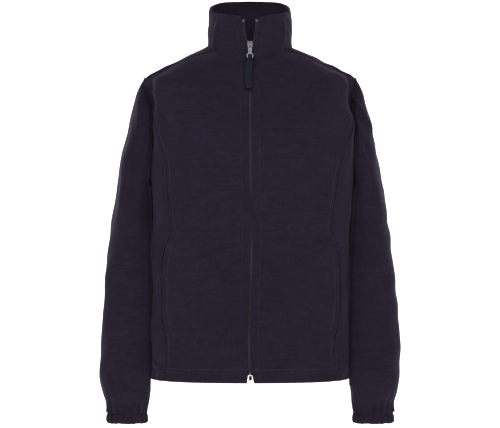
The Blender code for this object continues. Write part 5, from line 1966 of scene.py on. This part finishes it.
@dataclass
class Puller:
    """The cloth strip folded through the tab's ring, with its stitching. Its sizes go down from the pivot."""

    finish: Material
    thread: Material
    lean: float = 16.0
    top: float = -0.0212
    low: float = -0.0870
    half_width: float = 0.0062
    thickness: float = 0.0042
    row: float = 0.0009
    drift: float = -0.0024
    drift_run: float = 0.036
    ridge: float = 0.0012
    ridge_x: float = -0.0012
    ridge_width: float = 0.0020
    pinch_drop: float = 0.0605
    pinch_width: float = 0.0022
    groove_depth: float = 0.00035
    groove_width: float = 0.0006
    groove_from: float = 0.012
    stitch_inset: float = 0.0016
    stitch_run: Span = (-0.0340, -0.0800)
    bars: Place = (-0.0816, -0.0827, -0.0838)
    cut: Cut = Cut(0.0125, 0.0660, 0.00080, (), Held.FOLDED)

    def half_widths(self, drops: Points) -> Points:
        """Half the strip's width.

        Args:
            drops: distances down from its top.

        Returns:
            A half width for each.
        """
        full = self.half_width
        table = Table(
            "drop half", (0.0, 0.0033), (0.0030, 0.0038), (0.0062, 0.0040), (0.0120, full), (0.0600, full),
            (0.0618, full + 0.0004), (0.0652, full + 0.0003), (0.0658, full - 0.0003),
        )
        return table.straight("half", drops)

    def aside(self, drop: Points) -> Points:
        """How far to the side the strip has bent at this distance down."""
        return self.drift * smooth_step(0.0, self.drift_run, drop)

    def turned(self, points: Points, pivot: Vector) -> Points:
        """Points of the hanging pull, leaned back on the chest about its pivot.

        Args:
            points: the points, measured from the pivot.
            pivot: a point on the pull's axis.

        Returns:
            The points, where they lie on the jacket.
        """
        sine, cosine = math.sin(math.radians(-self.lean)), math.cos(math.radians(-self.lean))
        x, y, z = np.moveaxis(points, -1, 0)
        return np.stack([x, y * cosine - z * sine, y * sine + z * cosine], axis=-1) + np.array(pivot)

    def ring(self, drop: float, half: float, around: Points) -> Points:
        """One ring of the strip, hanging straight down.

        Args:
            drop: its distance down from the top.
            half: half the strip's width there.
            around: radians round it.

        Returns:
            Its points.
        """
        pinched = 0.25 * bell(drop - self.pinch_drop, self.pinch_width)
        thick = self.thickness / 2 * (1.0 - pinched + 0.02 * math.sin(drop * 900.0))
        x = half * np.sign(np.cos(around)) * np.abs(np.cos(around)) ** 0.45
        y = thick * np.sign(np.sin(around)) * np.abs(np.sin(around)) ** 0.55
        groove = bell(np.abs(x) - (half - self.stitch_inset), self.groove_width) * (drop > self.groove_from)
        y = y - np.sign(y) * self.groove_depth * groove
        y = y - self.ridge * bell(x - self.ridge_x, self.ridge_width) * (y < 0)
        return np.stack([x + self.aside(drop), y, np.full(len(around), self.top - drop)], axis=-1)

    def build(self, pivot: Vector) -> list[Piece]:
        """Makes the strip and its stitches.

        Args:
            pivot: a point on the pull's axis.

        Returns:
            The strip and its stitches.
        """
        around = np.radians(np.arange(0.0, 360.0, 15.0))
        drops = spaced(0.0, self.top - self.low, self.row)
        rings = [self.ring(drop, half, around) for drop, half in zip(drops, self.half_widths(drops))]
        points = self.turned(np.array(rings)[:, ::-1], pivot)
        strip = build_mesh("puller_strip", points, rod_faces(len(points), len(around)), self.finish)
        place(strip, ["puller"], "pull")
        edge, (high, low) = self.half_width - self.stitch_inset, self.stitch_run
        rows = [((x, high), (x, low)) for x in (-edge, edge)] + [((-edge, z), (edge, z)) for z in self.bars]
        paths = []
        for ends in rows:
            line = even_path(np.array([[x, -self.thickness / 2, z] for x, z in ends]), 0.0005)
            line[:, 0] += self.aside(self.top - line[:, 2])
            paths.append(self.turned(line, pivot))
        stitches = Stitches(self.thread, length=0.0019, pitch=0.0026, radius=0.00028, lay=-1.0)
        return [strip, place(stitches.build("puller_stitches", paths, [strip]), body="pull")]


# ---------------------------------------------------------------- studio


@dataclass(frozen=True)
class Softbox:
    """A rectangular area light aimed at one point."""

    name: str
    location: Place
    target: Place
    size: Span
    power: float

    def build(self) -> None:
        """Makes the light."""
        light = bpy.data.lights.new(self.name, "AREA")
        light.shape = "RECTANGLE"
        light.size, light.size_y = self.size
        light.energy = self.power
        lamp = add_object(self.name, light)
        lamp.location = self.location
        lamp.rotation_euler = (Vector(self.target) - Vector(self.location)).to_track_quat("-Z", "Y").to_euler()


@dataclass(frozen=True)
class Studio:
    """The camera, the even white backdrop and the lights."""

    camera: Place = (0.0, -4.0, -0.321)
    view_width: float = 0.95
    sensor: float = 36.0
    backdrop_y: float = 5.0
    backdrop_half: float = 6.0
    floor_length: float = 11.0
    floor_z: float = -1.7
    wall: float = 6.0
    bend: float = 1.0
    bend_steps: int = 8
    world: float = 0.27
    glow: float = 1.0
    lights: tuple[Softbox, ...] = (
        Softbox("left", (-1.85, -2.4, 1.15), (0.0, 0.0, -0.25), (1.2, 1.4), 33.0),
        Softbox("right", (1.85, -2.4, 0.85), (0.0, 0.0, -0.25), (1.2, 1.4), 27.0),
        Softbox("top", (0.0, -2.4, 2.3), (0.0, 0.0, -0.10), (1.6, 1.0), 32.0),
        Softbox("edge_left", (-1.7, 0.25, 0.1), (-0.2, 0.0, -0.3), (1.0, 2.0), 3.0),
        Softbox("edge_right", (1.7, 0.25, 0.1), (0.2, 0.0, -0.3), (1.0, 2.0), 3.0),
    )

    def build(self) -> None:
        """Makes the studio."""
        self.build_camera()
        self.build_world()
        self.build_backdrop()
        for light in self.lights:
            light.build()

    def build_camera(self) -> None:
        """Makes the camera, straight from the front."""
        data = bpy.data.cameras.new("camera")
        data.sensor_width = self.sensor
        data.lens = self.sensor * -self.camera[1] / self.view_width
        camera = add_object("camera", data)
        camera.location = self.camera
        camera.rotation_euler = (math.radians(90.0), 0.0, 0.0)
        bpy.context.scene.camera = camera

    def build_world(self) -> None:
        """Sets an even white surround and a plain view of it."""
        world = bpy.data.worlds.new("surround")
        world.use_nodes = True
        background = world.node_tree.nodes["Background"]
        background.inputs["Color"].default_value = (1.0, 1.0, 1.0, 1.0)
        background.inputs["Strength"].default_value = self.world
        bpy.context.scene.world = world
        bpy.context.scene.view_settings.view_transform = "Standard"

    def build_backdrop(self) -> Piece:
        """Makes the floor and the wall behind, one sweep of white.

        Returns:
            The backdrop.
        """
        bend, floor = self.bend, self.floor_z
        profile = [(self.backdrop_y - self.floor_length, floor)]
        for angle in np.radians(np.linspace(0.0, 90.0, self.bend_steps + 1)):
            profile.append((self.backdrop_y - bend * (1.0 - math.sin(angle)), floor + bend * (1.0 - math.cos(angle))))
        profile.append((self.backdrop_y, floor + self.wall))
        grid = np.array([[(x, y, z) for x in (-self.backdrop_half, self.backdrop_half)] for y, z in profile])
        chain = NodeChain("white_sweep")
        white = chain.set(Base_Color=(0.9, 0.9, 0.9, 1.0), Roughness=1.0, Emission_Color=(1.0, 1.0, 1.0, 1.0),
                          Emission_Strength=self.glow)
        return build_mesh("backdrop", grid, strip_faces(len(grid), 2, ring=False), white)


# ---------------------------------------------------------------- the jacket


def log_piece(piece: Piece) -> None:
    """Reports one piece that has been made."""
    LOG.info("%s: %d faces", piece.name, len(piece.data.polygons))


def dress_metal(nodes: dict[str, Piece], names: Sequence[str], finish: Material) -> None:
    """Gives the frame's own metal pieces their finish.

    Args:
        nodes: the frame's pieces by their names.
        names: the names of those that get this finish.
        finish: the finish.
    """
    for name in names:
        for slot in nodes[name].material_slots:
            slot.material = finish
        LOG.info("%s keeps its shape", name)


def build_stitching(seams: Seams, collar: Collar, cloths: dict[str, Piece], thread: Material,
                    shade_dark_thread: Material) -> list[Piece]:
    """Makes every row of topstitching on the body and the collar.

    Args:
        seams: the body's stitch lines.
        collar: the collar, with its own.
        cloths: the pieces of cloth by their nodes' names.
        thread: the thread's finish.
        shade_dark_thread: a darker copy of the thread's finish, painted shade where the pile shades it, beside the
            zip and on the collar.

    Returns:
        The rows of stitches.
    """
    # Stitches beside the zip and on the collar take the darker thread: painted shade from the pile.
    sewing, shaded_stitching = Stitches(thread), Stitches(shade_dark_thread)
    body = [cloth for name, cloth in cloths.items() if name.split("_")[0] in ("front", "side", "back")]
    rows = [
        (shaded_stitching if name.startswith("zip") else sewing).build(f"stitches_{name}", paths, body)
        for name, paths in seams.stitches.items()
    ]
    ends = [collar.topstitch(side) for side in Side]
    rows.append(shaded_stitching.build("stitches_collar", ends, [cloths["collar"]]))
    return [place(row) for row in rows]


def main() -> None:
    """Loads the frame, dresses the jacket and sets up the studio."""
    logging.basicConfig(level=logging.INFO, format="%(message)s")
    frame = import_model()
    fleece = FleeceFinish().build()
    knit = WovenFinish("pocket_knit_cloth", (0.010, 0.008, 0.016), threads=900.0).build()
    tape = WovenFinish("zip_tape_cloth", (0.012, 0.010, 0.020)).build()
    webbing = WovenFinish(
        "puller_webbing", (0.004, 0.0028, 0.0120), threads=2400.0, roughness=0.42, sheen=0.02, specular=0.10,
    ).build()
    # The thread's lighter colour is painted sheen.
    thread = ThreadFinish().build()
    # A darker copy of the sewing thread: painted shade for thread shaded by the pile.
    shade_dark_thread = ThreadFinish("sunk_thread", (0.008, 0.006, 0.013)).build()
    # The pull tab's finish is a darker copy of the plated metal: painted shade.
    metal, worn_metal = MetalFinish().build(), MetalFinish("worn_metal", (0.10, 0.10, 0.11)).build()
    dark_metal = MetalFinish("dark_metal", (0.022, 0.020, 0.026), (0.30, 0.45)).build()
    seams = Seams()
    collar = Collar(fleece)
    cloths = {"back": BackPanel(seams, fleece).build(), "collar": collar.build()}
    pieces: list[Piece] = []
    for side in Side:
        cloths[f"front_{side.word}"] = FrontPanel(seams, fleece).build(side)
        cloths[f"side_front_{side.word}"] = SideFrontPanel(seams, fleece).build(side)
        cloths[f"sleeve_{side.word}"] = Sleeve(fleece).build(side)
        cloths[f"cuff_{side.word}"] = Cuff(fleece).build(side)
        pieces.append(PocketBag(knit).build(side))
        pieces += ZipHalf(tape, CoilFinish().build()).build(side)
    pieces += build_stitching(seams, collar, cloths, thread, shade_dark_thread)
    dress_metal(frame["nodes"], ("zip_slider", "top_stop_left", "top_stop_right"), metal)
    dress_metal(frame["nodes"], ("zip_box",), dark_metal)
    # The pull tab takes the darker copy of the plated metal, painted shade.
    dress_metal(frame["nodes"], ("pull_tab",), worn_metal)
    pivot = Vector(frame["joints"][0]["pos_m"])
    pieces += Puller(webbing, thread).build(pivot)
    for piece in [*cloths.values(), *pieces]:
        log_piece(piece)
    Studio().build()


if __name__ == "__main__":
    main()
